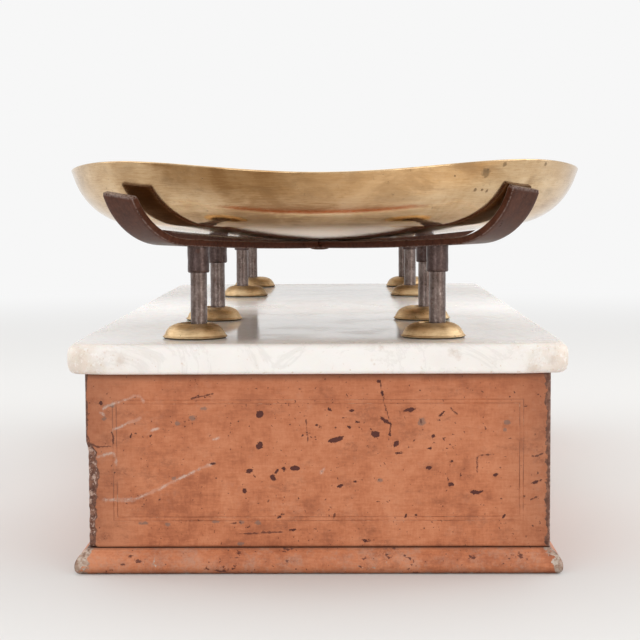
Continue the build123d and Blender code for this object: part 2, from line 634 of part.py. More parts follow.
ARM_LENGTH = ROD_SPACING + CARRIER_ARM
BEARING_PAD_START = END_KNIFE_Y - BEARING_WIDTH / 2
BEARING_PAD_END = PAN_Y + ARM_LENGTH / 2
for end, side in ENDS:
    centre_y = side * PAN_Y
    with BuildPart() as carrier:
        with BuildSketch(Plane.XY.offset(CARRIER_BOTTOM)) as frame:
            with Locations((0, centre_y - ROD_SPACING / 2), (0, centre_y + ROD_SPACING / 2)):
                Rectangle(ARM_LENGTH, CARRIER_ARM)
            with Locations((0, centre_y)):
                Rectangle(CARRIER_SPINE, ARM_LENGTH)
            with Locations((0, side * (BEARING_PAD_START + BEARING_PAD_END) / 2)):
                Rectangle(BEARING_GAUGE + BEARING_WIDTH, BEARING_PAD_END - BEARING_PAD_START)
            fillet(frame.vertices(), CARRIER_CORNER_ROUND)
            with Locations(*rod_places(side)):
                Circle(ROD_DIAMETER / 2 + ROD_HOLE_CLEARANCE, mode=Mode.SUBTRACT)
        extrude(amount=CARRIER_THICKNESS)
        with BuildSketch(Plane.YZ) as hanger:
            hanger_foot = SEAT_ABOVE_LEVER - VEE_DEPTH
            with Locations((side * LOAD_KNIFE_Y, (hanger_foot + CARRIER_BOTTOM) / 2)):
                Rectangle(HANGER_DEPTH, CARRIER_BOTTOM - hanger_foot)
            Polygon(*vee_points(side * LOAD_KNIFE_Y, SEAT_ABOVE_LEVER, -1), align=None,
                    mode=Mode.SUBTRACT)
        extrude(amount=HANGER_WIDTH / 2, both=True)
        with BuildSketch(Plane.XZ.offset(-side * LOAD_KNIFE_Y)):
            with Locations((0, hanger_foot + HANGER_SLOT_HEIGHT / 2)):
                Rectangle(HANGER_SLOT, HANGER_SLOT_HEIGHT)
        extrude(amount=HANGER_DEPTH, both=True, mode=Mode.SUBTRACT)
    save(carrier, f"carrier_{end}")

    with BuildPart() as carrier_bearings:
        for x_side in (-1, 1):
            with BuildSketch(Plane.YZ.offset(x_side * BEARING_GAUGE / 2)):
                bearing_foot = SEAT_ABOVE_BEAM - VEE_DEPTH
                with Locations((side * END_KNIFE_Y, (bearing_foot + CARRIER_BOTTOM) / 2)):
                    Rectangle(BEARING_WIDTH, CARRIER_BOTTOM - bearing_foot)
                Polygon(*vee_points(side * END_KNIFE_Y, SEAT_ABOVE_BEAM, -1), align=None,
                        mode=Mode.SUBTRACT)
            extrude(amount=BEARING_LENGTH / 2, both=True)
    save(carrier_bearings, f"carrier_bearings_{end}")

    with BuildPart() as rods:
        with BuildSketch(Plane.XY.offset(ROD_BOTTOM)):
            with Locations(*rod_places(side)):
                Circle(ROD_DIAMETER / 2)
        extrude(amount=ROD_TOP - ROD_BOTTOM)
    save(rods, f"rods_{end}")

    with BuildPart() as nuts:
        for nut_z in (CARRIER_BOTTOM - NUT_HEIGHT, CARRIER_TOP):
            with BuildSketch(Plane.XY.offset(nut_z)):
                with Locations(*rod_places(side)):
                    RegularPolygon(NUT_ACROSS_FLATS / 2, 6, major_radius=False)
                    Circle(ROD_DIAMETER / 2 + ROD_HOLE_CLEARANCE, mode=Mode.SUBTRACT)
            extrude(amount=NUT_HEIGHT)
    save(nuts, f"rod_nuts_{end}")

# ---- Cradles ------------------------------------------------------------------------------------


def bar_path(drop):
    """Half of a bar's side line, drop below its upper face: a long bow, then the arm."""
    rise = DISH_RADIUS + drop
    centre = (0, BAR_TOP + DISH_RADIUS)
    start = atan2(BAR_ARM_START, DISH_RADIUS)
    bow = CenterArc(centre, rise, -90, degrees(start))
    arm_radius = BAR_ARM_RADIUS - BAR_THICKNESS + drop
    axis_x = (DISH_RADIUS - BAR_ARM_RADIUS + BAR_THICKNESS) * sin(start)
    axis_z = centre[1] - (DISH_RADIUS - BAR_ARM_RADIUS + BAR_THICKNESS) * cos(start)
    arm = CenterArc((axis_x, axis_z), arm_radius, -90 + degrees(start),
                    BAR_TIP_SLOPE - degrees(start))
    return bow, arm


def cradle_bar(side, turn, keep_top):
    """A bowed bar with upturned ends, halved at the middle over or under its partner."""
    along = Plane(origin=(0, side * PAN_Y, 0), x_dir=(cos(radians(turn)), sin(radians(turn)), 0),
                  z_dir=(sin(radians(turn)), -cos(radians(turn)), 0))
    across = Plane(origin=(0, side * PAN_Y, BAR_BOTTOM + BAR_THICKNESS / 2),
                   x_dir=(cos(radians(turn)), sin(radians(turn)), 0), z_dir=(0, 0, 1))
    lap = BAR_WIDTH + 2 * LAP_CLEARANCE
    with BuildPart() as bar:
        with BuildSketch(along):
            with BuildLine():
                lower = bar_path(BAR_THICKNESS)
                upper = bar_path(0)
                Line(lower[1] @ 1, upper[1] @ 1)
                mirror(about=Plane.YZ)
            make_face()
        extrude(amount=BAR_WIDTH / 2, both=True)
        with BuildSketch(across):
            Rectangle(lap, lap)
        extrude(amount=(-1 if keep_top else 1) * BAR_THICKNESS, mode=Mode.SUBTRACT)
        with BuildSketch(across):
            Circle(RIVET_DIAMETER / 2)
        extrude(amount=BAR_THICKNESS, both=True, mode=Mode.SUBTRACT)
    return bar


for end, side in ENDS:
    lower_bar = cradle_bar(side, BAR_ANGLE, False)
    save(lower_bar, f"cradle_lower_bar_{end}")
    upper_bar = cradle_bar(side, BAR_ANGLE + 90, True)
    save(upper_bar, f"cradle_upper_bar_{end}")

    with BuildPart() as sockets:
        with BuildSketch(Plane.XY.offset(SLAB_TOP + SOCKET_BOTTOM_RISE)):
            with Locations(*rod_places(side)):
                Circle(SOCKET_DIAMETER / 2)
                Circle(ROD_DIAMETER / 2 + SOCKET_CLEARANCE, mode=Mode.SUBTRACT)
        extrude(amount=ROD_RISE - SOCKET_BOTTOM_RISE + BAR_THICKNESS / 2)
        add(lower_bar.part, mode=Mode.SUBTRACT)
        add(upper_bar.part, mode=Mode.SUBTRACT)
    save(sockets, f"cradle_sockets_{end}")

    with BuildPart() as rivet:
        with BuildSketch(Plane.XY.offset(BAR_BOTTOM)):
            with Locations((0, side * PAN_Y)):
                Circle(RIVET_DIAMETER / 2)
        extrude(amount=BAR_THICKNESS)
        with BuildSketch(Plane.XY.offset(BAR_BOTTOM)):
            with Locations((0, side * PAN_Y)):
                Circle(RIVET_HEAD_DIAMETER / 2)
        extrude(amount=-RIVET_HEAD_HEIGHT, taper=RIVET_HEAD_TAPER)
    save(rivet, f"cradle_rivet_{end}")

# ---- Pans ---------------------------------------------------------------------------------------

WALL_TURN = atan2(PAN_WALL_START, DISH_RADIUS)
DISH_AXIS_Z = PAN_BOTTOM + DISH_RADIUS
WALL_AXIS_REACH = DISH_RADIUS - PAN_WALL_RADIUS
WALL_AXIS = (WALL_AXIS_REACH * sin(WALL_TURN), DISH_AXIS_Z - WALL_AXIS_REACH * cos(WALL_TURN))
WALL_SLOPE = radians(PAN_WALL_SLOPE)
WALL_END = (WALL_AXIS[0] + PAN_WALL_RADIUS * sin(WALL_SLOPE),
            WALL_AXIS[1] - PAN_WALL_RADIUS * cos(WALL_SLOPE))
RIM_RADIUS = WALL_END[0] + (SLAB_TOP + PAN_SIDE_HEIGHT - WALL_END[1]) / tan(WALL_SLOPE)
BLANK_TOP = SLAB_TOP + PAN_CORNER_HEIGHT + PAN_TRIM
TRIM_STEPS = 4
TRIM_REACH = 1.2 * RIM_RADIUS


def rim_height(x, y):
    """Height of a pan's rim above the marble: low at the ends, a little higher at the sides."""
    sides = (PAN_SIDE_HEIGHT - PAN_END_HEIGHT) * (x / RIM_RADIUS) ** 2
    corner_rise = PAN_CORNER_HEIGHT - (PAN_END_HEIGHT + PAN_SIDE_HEIGHT) / 2
    corners = corner_rise * 4 * (x * y) ** 2 / RIM_RADIUS ** 4
    return SLAB_TOP + PAN_END_HEIGHT + sides + corners


def pan_outline(sheet):
    """The meridian of a pan, sheet in from its outer skin: dish, wall arc and straight flare."""
    dish = CenterArc((0, DISH_AXIS_Z), DISH_RADIUS - sheet, -90, degrees(WALL_TURN))
    wall = CenterArc(WALL_AXIS, PAN_WALL_RADIUS - sheet, -90 + degrees(WALL_TURN),
                     PAN_WALL_SLOPE - degrees(WALL_TURN))
    wall_end = wall @ 1
    flare = (BLANK_TOP - wall_end.Y) / tan(WALL_SLOPE)
    rise = Line(wall_end, (wall_end.X + flare, BLANK_TOP))
    return dish, rise


# A pan is turned with an even rim, PAN_TRIM too high, and everything above its wavy rim is cut away.
for end, side in ENDS:
    centre = (-side * PAN_SHIFT, side * PAN_Y, 0)
    steps = [TRIM_REACH * i / TRIM_STEPS for i in range(-TRIM_STEPS, TRIM_STEPS + 1)]
    rim_points = [[Vector(x + centre[0], y + centre[1], rim_height(x, y)) for y in steps]
                  for x in steps]
    above_rim = extrude(Face.make_surface_from_array_of_points(rim_points),
                        amount=BLANK_TOP - SLAB_TOP, dir=(0, 0, 1))
    with BuildPart() as pan:
        with BuildSketch(Plane(origin=centre, x_dir=(1, 0, 0), z_dir=(0, -1, 0))):
            with BuildLine():
                outer = pan_outline(0)
                inner = pan_outline(PAN_SHEET)
                Line(outer[1] @ 1, inner[1] @ 1)
                Line(outer[0] @ 0, inner[0] @ 0)
            make_face()
        revolve(axis=Axis(centre, (0, 0, 1)))
        add(above_rim, mode=Mode.SUBTRACT)
    save(pan, f"pan_{end}")
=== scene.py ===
import bmesh
import bpy
import numpy as np
import json
from math import asin, atan2, copysign, cos, pi, radians, sin, sqrt
from mathutils import Matrix, Vector, noise


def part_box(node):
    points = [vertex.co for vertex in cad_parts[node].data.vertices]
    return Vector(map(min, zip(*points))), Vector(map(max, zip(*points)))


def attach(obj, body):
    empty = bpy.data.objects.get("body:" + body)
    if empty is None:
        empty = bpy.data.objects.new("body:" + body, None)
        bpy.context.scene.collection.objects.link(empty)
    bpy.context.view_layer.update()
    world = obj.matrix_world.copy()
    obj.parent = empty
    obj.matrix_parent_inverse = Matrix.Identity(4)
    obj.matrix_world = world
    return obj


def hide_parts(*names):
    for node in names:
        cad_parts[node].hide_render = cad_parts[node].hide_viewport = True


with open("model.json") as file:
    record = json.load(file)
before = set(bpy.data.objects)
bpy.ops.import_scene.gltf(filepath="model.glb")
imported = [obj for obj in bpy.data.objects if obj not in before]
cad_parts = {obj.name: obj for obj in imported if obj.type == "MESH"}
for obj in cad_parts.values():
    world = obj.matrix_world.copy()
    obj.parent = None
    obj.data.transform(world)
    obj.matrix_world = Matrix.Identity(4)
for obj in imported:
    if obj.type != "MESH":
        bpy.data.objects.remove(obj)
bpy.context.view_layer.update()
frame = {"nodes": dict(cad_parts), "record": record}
MM = 0.001
ENDS = ("near", "far")
scene = bpy.context.scene

# ---- Sizes and places, in metres ----

SLAB_LOW, SLAB_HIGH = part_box("marble_top")
SLAB_TOP = SLAB_HIGH.z
SLAB_CORNER = 8.0 * MM
SLAB_TOP_ROUND = 4.0 * MM
SLAB_BOTTOM_ROUND = 2.5 * MM
WELL_RADIUS = 9.0 * MM
CASE_HALF_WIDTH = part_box("case_end_near")[1].x
CASE_HALF_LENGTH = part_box("case_end_far")[1].y
CASE_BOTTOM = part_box("case_end_near")[0].z
CASE_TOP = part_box("case_end_near")[1].z
BOARD = 14.0 * MM
BOARD_MIDDLE_Z = (CASE_BOTTOM + CASE_TOP) / 2
EDGE_ROUND = 1.5 * MM
# The two incised lines: how far in from a board's edges, and half their width
GROOVES = (16.4 * MM, 18.7 * MM)
GROOVE_HALF = 0.4 * MM
GROOVE_DEEP = 0.4 * MM
WINDOW_LOW, WINDOW_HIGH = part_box("window_bezel")
WINDOW_Z = (WINDOW_LOW.z + WINDOW_HIGH.z) / 2
BEZEL_WIDTH = 9.0 * MM
SCREW_HEAD_RADIUS = 2.75 * MM
ROD_RADIUS = 5.25 * MM
DOME_RADIUS = 20.25 * MM
DOME_SHEET = 1.1 * MM
SOCKET_RADIUS = 7.0 * MM
SOCKET_BORE = 5.55 * MM
PAN_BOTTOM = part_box("pan_near")[0].z
PAN_DISH_RADIUS = 789.7 * MM
PAN_WALL_RADIUS = 45.0 * MM
PAN_WALL_REACH = 121.63 * MM
PAN_WALL_SLOPE = radians(70.0)
PAN_SHEET = 1.4 * MM
PAN_END_HEIGHT = 101.0 * MM
PAN_SIDE_HEIGHT = 104.2 * MM
PAN_CORNER_RISE = 6.0 * MM
# A bar bows with the CAD's dish, which is flatter than the pan's here, and then bends up to its tips
BAR_BOW_RADIUS = 1900.0 * MM
BAR_TOP = PAN_BOTTOM - 0.3 * MM
BAR_WIDTH = 28.0 * MM
BAR_THICKNESS = 4.5 * MM
BAR_ARM_START = 125.4 * MM
BAR_ARM_RADIUS = 48.0 * MM
BAR_TIP_SLOPE = radians(72.0)
LAP_HALF = 14.8 * MM


# ---- Mesh helpers ----

def wobble(x, y, z, scale, seed=0.0):
    """Smooth noise from -1 to 1, scale in metres."""
    return noise.noise(Vector((x / scale + seed, y / scale - seed, z / scale + 2 * seed)))


def fall(distance, reach):
    """1 at an edge, falling to 0 at reach."""
    return max(0.0, 1.0 - distance / reach)


def between(a, b, count):
    """The points that part the line from a to b in count equal steps, without a and b."""
    return [(a[0] + (b[0] - a[0]) * i / count, a[1] + (b[1] - a[1]) * i / count) for i in range(1, count)]


def arc_points(centre, radius, start, end, steps):
    """Points on an arc, angles in degrees, both ends included."""
    return [(centre[0] + radius * cos(radians(start + (end - start) * i / steps)),
             centre[1] + radius * sin(radians(start + (end - start) * i / steps)))
            for i in range(steps + 1)]


def circle(centre, radius, z, steps, relief=None):
    """Points round a vertical line; relief moves a point's radius."""
    points = []
    for j in range(steps):
        turn = 2 * pi * j / steps
        r = radius + (relief(turn, radius, z) if relief else 0.0)
        points.append((centre[0] + r * cos(turn), centre[1] + r * sin(turn), z))
    return points


def rounded_loop(half_x, half_y, corner, across, along, turn):
    """A rounded rectangle with so many steps across in x, along in y and round each corner."""
    x = half_x - corner
    y = half_y - corner
    arcs = [arc_points(centre, corner, first, first + 90, turn)
            for centre, first in (((x, -y), -90), ((x, y), 0), ((-x, y), 90), ((-x, -y), 180))]
    points = []
    for k, arc in enumerate(arcs):
        points += arc + between(arc[-1], arcs[(k + 1) % 4][0], across if k % 2 else along)
    return points


def grid_faces(rows, columns, wrap=False, first=0):
    """Quads over a grid of vertices stored row by row; wrap joins the last column to the first."""
    faces = []
    for i in range(rows - 1):
        for j in range(columns if wrap else columns - 1):
            k = (j + 1) % columns
            faces.append((first + i * columns + j, first + i * columns + k,
                          first + (i + 1) * columns + k, first + (i + 1) * columns + j))
    return faces


def tube(vertices, steps):
    """Rings of steps points each, the last ring joined to the first."""
    faces = grid_faces(len(vertices) // steps, steps, wrap=True)
    last = len(vertices) - steps
    faces += [(last + j, last + (j + 1) % steps, (j + 1) % steps, j) for j in range(steps)]
    return vertices, faces


def capped(bottom, rings, top, steps):
    """Rings of steps points each, closed by a fan to a point at either end."""
    vertices = [bottom, *rings, top]
    faces = grid_faces(len(rings) // steps, steps, wrap=True, first=1)
    last = 1 + len(rings) - steps
    faces += [(0, 1 + (j + 1) % steps, 1 + j) for j in range(steps)]
    faces += [(last + j, last + (j + 1) % steps, len(vertices) - 1) for j in range(steps)]
    return vertices, faces


def lathe(profile, centre, steps, relief=None):
    """A profile of (radius, z), turned about a vertical line: a closed one, or one from pole to pole."""
    poles = profile[0][0] == 0.0
    rings = [point for radius, z in (profile[1:-1] if poles else profile)
             for point in circle(centre, radius, z, steps, relief)]
    if poles:
        return capped((*centre, profile[0][1]), rings, (*centre, profile[-1][1]), steps)
    return tube(rings, steps)


def joined(parts):
    """Several (vertices, faces) lists as one."""
    vertices = []
    faces = []
    for some_vertices, some_faces in parts:
        start = len(vertices)
        vertices += some_vertices
        faces += [tuple(start + i for i in face) for face in some_faces]
    return vertices, faces


def beaten_lathes(centres, profile, steps, depth, girth, scale, seed_step, from_radius=0.0):
    """The profile turned about each centre. Beyond from_radius its surface is beaten in by up to twice
    depth, by a noise of the given scale that runs round a circle of radius girth."""
    def relief_of(seed):
        def relief(turn, radius, z):
            if radius < from_radius:
                return 0.0
            return depth * (wobble(cos(turn) * girth, sin(turn) * girth, z, scale, seed) - 1.0)
        return relief
    return joined([lathe(profile, centre, steps, relief_of(seed_step * k))
                   for k, centre in enumerate(centres)])


def new_mesh(vertices, faces, wear=()):
    """A mesh, with its wear layer if there is one."""
    mesh = bpy.data.meshes.new("mesh")
    mesh.from_pydata(vertices, [], faces)
    if wear:
        write_layer(mesh, "wear", [(*value, 1.0) for value in wear])
    return mesh


def write_layer(mesh, name, values):
    """Writes four values per vertex. The wear layer says how worn it is, how dirty, how darkened by painted
    shade, and how grooved.
    """
    layer = mesh.color_attributes.new(name, "FLOAT_COLOR", "POINT")
    layer.data.foreach_set("color", np.array(values, np.float32).ravel())


def piece(name, mesh, finish, body, node, angle=35.0):
    """A finished piece: shaded, painted, riding on its body and standing for its CAD node."""
    mesh.name = name
    mesh.validate()
    mesh.shade_smooth()
    mesh.set_sharp_from_angle(angle=radians(angle))
    mesh.materials.append(finish)
    obj = bpy.data.objects.new(name, mesh)
    scene.collection.objects.link(obj)
    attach(obj, body)
    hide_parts(node)


# ---- Node helpers ----

class Tree:
    """Writes an empty node tree; each method adds a node and gives its output."""

    def __init__(self, owner):
        owner.use_nodes = True
        self.tree = owner.node_tree
        self.tree.nodes.clear()

    def put(self, socket, value):
        """Links an output to a socket, or sets a plain value on it."""
        if isinstance(value, bpy.types.NodeSocket):
            self.tree.links.new(value, socket)
        elif hasattr(value, "__len__") and len(value) == 3 and socket.type == "RGBA":
            socket.default_value = (*value, 1.0)
        else:
            socket.default_value = value

    def node(self, kind, inputs, **settings):
        """The outputs of a node with these inputs, by name or number, and these settings."""
        node = self.tree.nodes.new(f"ShaderNode{kind}")
        for key, value in settings.items():
            setattr(node, key, value)
        for key, value in inputs.items():
            self.put(node.inputs[key], value)
        return node.outputs

    def place(self):
        """The point in the part's own frame, in metres."""
        return self.node("TexCoord", {})["Object"]

    def layer(self, name):
        """A mesh's colour layer, its first three values in Color and the fourth in Alpha."""
        return self.node("VertexColor", {}, layer_name=name)

    def vector(self, operation, a, b=(0.0, 0.0, 0.0)):
        return self.node("VectorMath", {0: a, 1: b}, operation=operation)

    def scaled(self, vector, *by):
        return self.vector("MULTIPLY", vector, by)[0]

    def split(self, vector):
        return self.node("SeparateXYZ", {0: vector})

    def math(self, operation, a, b=0.0):
        return self.node("Math", {0: a, 1: b}, operation=operation)[0]

    def add(self, first, *rest):
        for value in rest:
            first = self.math("ADD", first, value)
        return first

    def less(self, a, b):
        return self.math("SUBTRACT", a, b)

    def times(self, a, b):
        return self.math("MULTIPLY", a, b)

    def blend(self, *shares):
        """The sum of (value, share) pairs."""
        return self.add(*(self.times(value, share) for value, share in shares))

    def noise(self, vector, scale, detail=3.0, rough=0.6, warp=0.0):
        """Noise about 0.5, scale in blots per metre."""
        return self.node("TexNoise", {"Vector": vector, "Scale": scale, "Detail": detail, "Roughness": rough,
                                      "Distortion": warp})["Fac"]

    def ramp(self, fac, *stops):
        """Colours at places from 0 to 1."""
        node = self.tree.nodes.new("ShaderNodeValToRGB")
        self.put(node.inputs[0], fac)
        elements = node.color_ramp.elements
        while len(elements) < len(stops):
            elements.new(0.5)
        for element, (place, colour) in zip(elements, stops):
            element.position = place
            element.color = (*colour, 1.0)
        return node.outputs[0]

    def step(self, value, low, high):
        """0 below low, 1 above high, smooth between; low above high turns it round."""
        start, end, first, last = (low, high, 0.0, 1.0) if low <= high else (high, low, 1.0, 0.0)
        return self.node("MapRange", {"Value": value, "From Min": start, "From Max": end, "To Min": first,
                                      "To Max": last}, interpolation_type="SMOOTHSTEP")[0]

    def mix(self, fac, a, b):
        return self.node("Mix", {0: fac, 6: a, 7: b}, data_type="RGBA")[2]

    def tint(self, colour, mask, strength, other):
        """The colour, turned to another by so much where the mask is 1."""
        return self.mix(self.times(mask, strength), colour, other)

    def bump(self, height, distance, strength=0.5):
        return self.node("Bump", {"Height": height, "Distance": distance, "Strength": strength})[0]

    def spot(self, place, mark, shaken, shake, outer, inner):
        """1 inside a mark of X, Y, Z and radius in millimetres, 0 outside. Its ragged edge runs from
        inner to outer, in radii, once the noise has shaken it by up to shake radii."""
        *at, radius = (value * MM for value in mark)
        away = self.vector("DISTANCE", place, tuple(at))["Value"]
        return self.step(self.add(away, self.times(shaken, shake * radius)), outer * radius, inner * radius)


def surface(colour, roughness, normal):
    """The inputs of a Principled shader that most materials vary."""
    return {"Base Color": colour, "Roughness": roughness, "Normal": normal}


def material(name, build, **constants):
    """A Principled material; build(tree) gives the inputs that vary, constants are the same all over."""
    made = bpy.data.materials.new(name)
    t = Tree(made)
    fixed = {key.replace("_", " "): value for key, value in constants.items()}
    shader = t.node("BsdfPrincipled", fixed | build(t))
    t.node("OutputMaterial", {0: shader[0]})
    return made


# ---- Materials ----

PAINT = (0.505, 0.174, 0.078)
PAINT_DARK = (0.365, 0.114, 0.050)
PAINT_PALE = (0.590, 0.230, 0.114)
SMOKE = (0.270, 0.085, 0.040)
CHIP = (0.075, 0.018, 0.015)
BARE_WOOD = (0.130, 0.056, 0.038)
DUST = (0.450, 0.280, 0.205)
PLASTER = (0.640, 0.470, 0.390)
STAIN = (0.150, 0.125, 0.110)
GRIME_AND_SHADE = (0.085, 0.036, 0.024)
GROOVE_DARK = (0.170, 0.070, 0.045)
GROOVE_GLINT = (0.62, 0.36, 0.22)
WORN_WOOD = ((0.32, (0.045, 0.018, 0.014)), (0.48, BARE_WOOD), (0.66, (0.300, 0.150, 0.100)))
WORN_MOULDING = ((0.30, (0.110, 0.060, 0.042)), (0.45, (0.330, 0.235, 0.180)), (0.62, (0.560, 0.500, 0.430)))
VEIN = (0.58, 0.55, 0.52)
OCHRE = (0.64, 0.48, 0.33)
OCHRE_DOT = (0.62, 0.46, 0.33)
MARBLE_MARK = (0.50, 0.36, 0.26)
MARBLE_BRIGHT = (0.93, 0.91, 0.89)
BRASS = (0.68, 0.48, 0.275)
BRASS_PALE = (0.79, 0.60, 0.385)
BRASS_BROWN = (0.46, 0.29, 0.145)
BRASS_DULL_AND_REFLECTION = (0.34, 0.235, 0.14)
TARNISH = (0.070, 0.060, 0.045)
IRON_RUST = (0.110, 0.048, 0.032)
IRON_BEARING = (0.260, 0.165, 0.110)
IRON_RUBBED_AND_HIGHLIGHT = (0.46, 0.39, 0.36)

# Chips in the paint of the near end: place X, Z, length, width in millimetres, and slope in degrees
NEAR_CHIPS = (
    (-35, 96.3, 5, 4, 40), (-35, 77.7, 4.4, 3.8, 20), (-14, 63.6, 6.4, 3.4, 0), (-20.5, 63.6, 2.2, 2, 0),
    (-27.2, 57.8, 6.5, 2.6, -30), (-25, 61.4, 3.5, 1.4, 50), (-41.4, 61.9, 4.6, 2.4, 25),
    (-44.3, 50, 2.4, 2.2, 0), (-38.4, 59, 2.4, 1, -60), (1.5, 88.6, 3, 1.4, 90), (-1, 90, 3.4, 1.2, -10),
    (-63, 66.5, 4, 1.4, -5), (-9, 83.6, 1.6, 1.2, 0), (-130.5, 103.4, 2.4, 1.8, 0),
    (-11.5, 45.8, 2.4, 1.2, 5), (11, 81.2, 11, 3, 18), (34.7, 84.2, 5.6, 3.8, -10), (55, 98.8, 8, 2.2, 8),
    (20.5, 98.6, 3.8, 1.6, -5), (7.5, 99.2, 3, 1.6, -30), (74.7, 96.6, 5, 1.4, 50),
    (67.3, 63.9, 4.4, 2.4, 5), (80.4, 53.6, 3.2, 2.6, -30), (95.4, 48.8, 9, 2.4, 4),
    (13.4, 53.1, 5, 2.2, 20), (22.5, 55.5, 2.6, 1.4, 15), (47.3, 78.4, 4.6, 2.4, 65),
    (49.3, 72.8, 5.6, 1.4, 0), (29, 19.5, 5.6, 1.5, -5), (67, 75.6, 3.8, 1, 0), (80.8, 67.6, 2, 1.2, 90),
    (107.2, 59.4, 2.2, 1.8, 0), (69.5, 83, 2, 1.6, 0), (41.2, 92.2, 8, 2, -32), (43.3, 84.2, 4.4, 1.4, 80),
    (36.8, 116.5, 3.4, 1.8, 10), (39.3, 108.5, 5, 1.2, -75), (131.6, 55.2, 7, 1.4, 18),
    (24, 91.6, 3.4, 1.1, 0), (19, 88.6, 1.6, 1.2, 0), (-15.3, 26.1, 5, 1, 0), (-24, 33.6, 3, 1.1, 30),
    (-21, 35.6, 2.4, 0.9, 0), (53, 34.5, 3, 1, 70), (59, 35, 2, 1, 20), (112, 34, 3, 1.2, 60),
    (-112.5, 84.2, 3, 1, 85), (-101, 83.4, 3, 0.9, 50))
# Stains: place X, Z, length and width in millimetres
NEAR_STAINS = ((-75.3, 94.2, 3.6, 2.6), (-84.3, 91.1, 2.6, 2), (37.1, 56.2, 3.6, 2.2), (114, 91, 2.8, 2.4),
               (112.5, 86.6, 1.8, 1.6), (-36.4, 30.2, 3.8, 2.2), (-46.4, 30.6, 2.6, 1.6), (-91, 29.4, 3, 2),
               (-124, 101.6, 3, 1.6), (-129, 94, 3.4, 1.6), (-47, 17.6, 4, 1.6), (-86.8, 57.6, 2, 1.8),
               (62.4, 91.6, 2, 4), (-68, 100, 5, 1.4), (-62, 31, 4, 1.2), (-106, 30.4, 6, 1.2))
# Fine dark cracks and knocks, and pale scratches, as lines of X, Z points in millimetres
NEAR_CRACKS = (
    ((37.5, 117), (39.3, 105), (42, 97), (44, 90), (43, 84), (42.5, 80)),
    ((-139.5, 84.5), (-137.5, 79.5), (-134, 77), (-128, 77), (-123.6, 77.6), (-123.3, 82), (-124, 86)),
    ((127.5, 71.5), (130.5, 70.4), (136, 72.4)), ((-54, 30), (-47, 30.4)), ((96, 70.5), (96, 60.5)),
    ((62, 93.6), (62.4, 89.6)), ((-48, 23.6), (-20, 24.8)), ((96, 71), (106, 72)), ((128, 44), (134, 47)),
    ((-7, 93), (-6, 80)), ((80, 100), (84, 96)), ((10, 36), (9, 32)), ((-76, 106), (-63, 109)))
NEAR_SCRATCHES = (
    ((-129.6, 44.7), (-120.4, 44.3), (-112, 43.9), (-104.4, 48), (-97, 50.7), (-87.6, 55.7), (-78.4, 60.1),
     (-69, 64.4), (-62.4, 67)),
    ((-129, 44.8), (-119, 44.9), (-110, 45)), ((-131, 98), (-129, 96.5)), ((-63, 81.2), (-59.5, 82.4)),
    ((-129.6, 99.7), (-126.3, 101.8), (-120.4, 104), (-114.5, 106), (-109.5, 107.9), (-106.6, 106.9),
     (-104.8, 104.5)),
    ((-124.6, 86.8), (-120.4, 88.5), (-114.5, 91.4), (-109.5, 93.2), (-107.3, 94.2)),
    ((-133, 70.5), (-130.5, 71.7), (-126.3, 72.7), (-123.4, 73.4), (-122.1, 70.5), (-121.7, 66)),
    ((-100, 86.8), (-96.5, 88)), ((2, 60.5), (3.5, 63)))
MARK_REACH = 2.0


def mark_runs(marks):
    """Marks given by place, length, width and slope, as runs with a radius."""
    runs = []
    for x, z, length, width, slope in marks:
        width = 1.08 * width
        half = max(length + 0.4 - width, 0.3) / 2
        run = (half * cos(radians(slope)), half * sin(radians(slope)))
        runs.append(((x - run[0], z - run[1]), (x + run[0], z + run[1]), width / 2))
    return runs


def line_runs(lines, radius):
    """Lines of points as runs end to end."""
    return [(a, b, radius) for line in lines for a, b in zip(line, line[1:])]


def nearest_run(points, runs):
    """Distance in millimetres from each X, Z point to the nearest run, less its radius, which narrows to
    the run's ends. It is kept within MARK_REACH either way."""
    nearest = np.full(len(points), MARK_REACH)
    for start, end, radius in runs:
        run = np.subtract(end, start)
        reach = points - start
        part = np.clip(reach @ run / (run @ run), 0.0, 1.0)
        taper = min(0.5, 0.2 * np.linalg.norm(run) / radius)
        pointed = radius * (1.0 - taper * (2.0 * part - 1.0) ** 2)
        nearest = np.minimum(nearest, np.linalg.norm(reach - part[:, None] * run, axis=1) - pointed)
    ragged = np.array([wobble(x, 0.0, z, 2.4, 1.0) for x, z in points])
    return np.clip(nearest + 0.55 * ragged, -MARK_REACH, MARK_REACH)


def mark_paint(mesh):
    """Writes the marks layer: nearness to chips, stains, scratches and cracks, all from 0 to 1."""
    places = np.array([(v.co.x, v.co.z) for v in mesh.vertices]) / MM
    layers = (mark_runs(NEAR_CHIPS), mark_runs([(*stain, 0) for stain in NEAR_STAINS]),
              line_runs(NEAR_SCRATCHES, 0.3), line_runs(NEAR_CRACKS, 0.25))
    values = [nearest_run(places, runs) / (2 * MARK_REACH) + 0.5 for runs in layers]
    write_layer(mesh, "marks", np.stack(values, axis=1))


def marked(t, place, colour, relief):
    """The near end's own chips, stains, scratches and cracks, over the paint's colour and relief."""
    marks = t.layer("marks")
    chip, stain, scratch = t.split(marks["Color"])
    shake = t.times(t.less(t.noise(place, 520.0, 5.0, 0.75), 0.5), 0.95)
    scratches = t.times(t.step(t.add(scratch, shake), 0.56, 0.46),
                        t.step(t.noise(place, 130.0), 0.34, 0.52))
    chips = t.step(t.add(chip, shake), 0.54, 0.48)
    colour = t.tint(colour, t.step(t.add(stain, shake), 0.66, 0.45), 0.6, STAIN)
    colour = t.tint(colour, t.step(t.add(scratch, shake), 0.80, 0.55), 0.22, PLASTER)
    colour = t.tint(colour, t.step(t.add(marks["Alpha"], t.times(shake, 0.6)), 0.60, 0.50), 0.8, CHIP)
    colour = t.tint(colour, scratches, 0.7, PLASTER)
    colour = t.tint(colour, chips, 0.96, CHIP)
    return colour, t.less(t.less(relief, t.times(chips, 0.9)), t.times(scratches, 0.5))


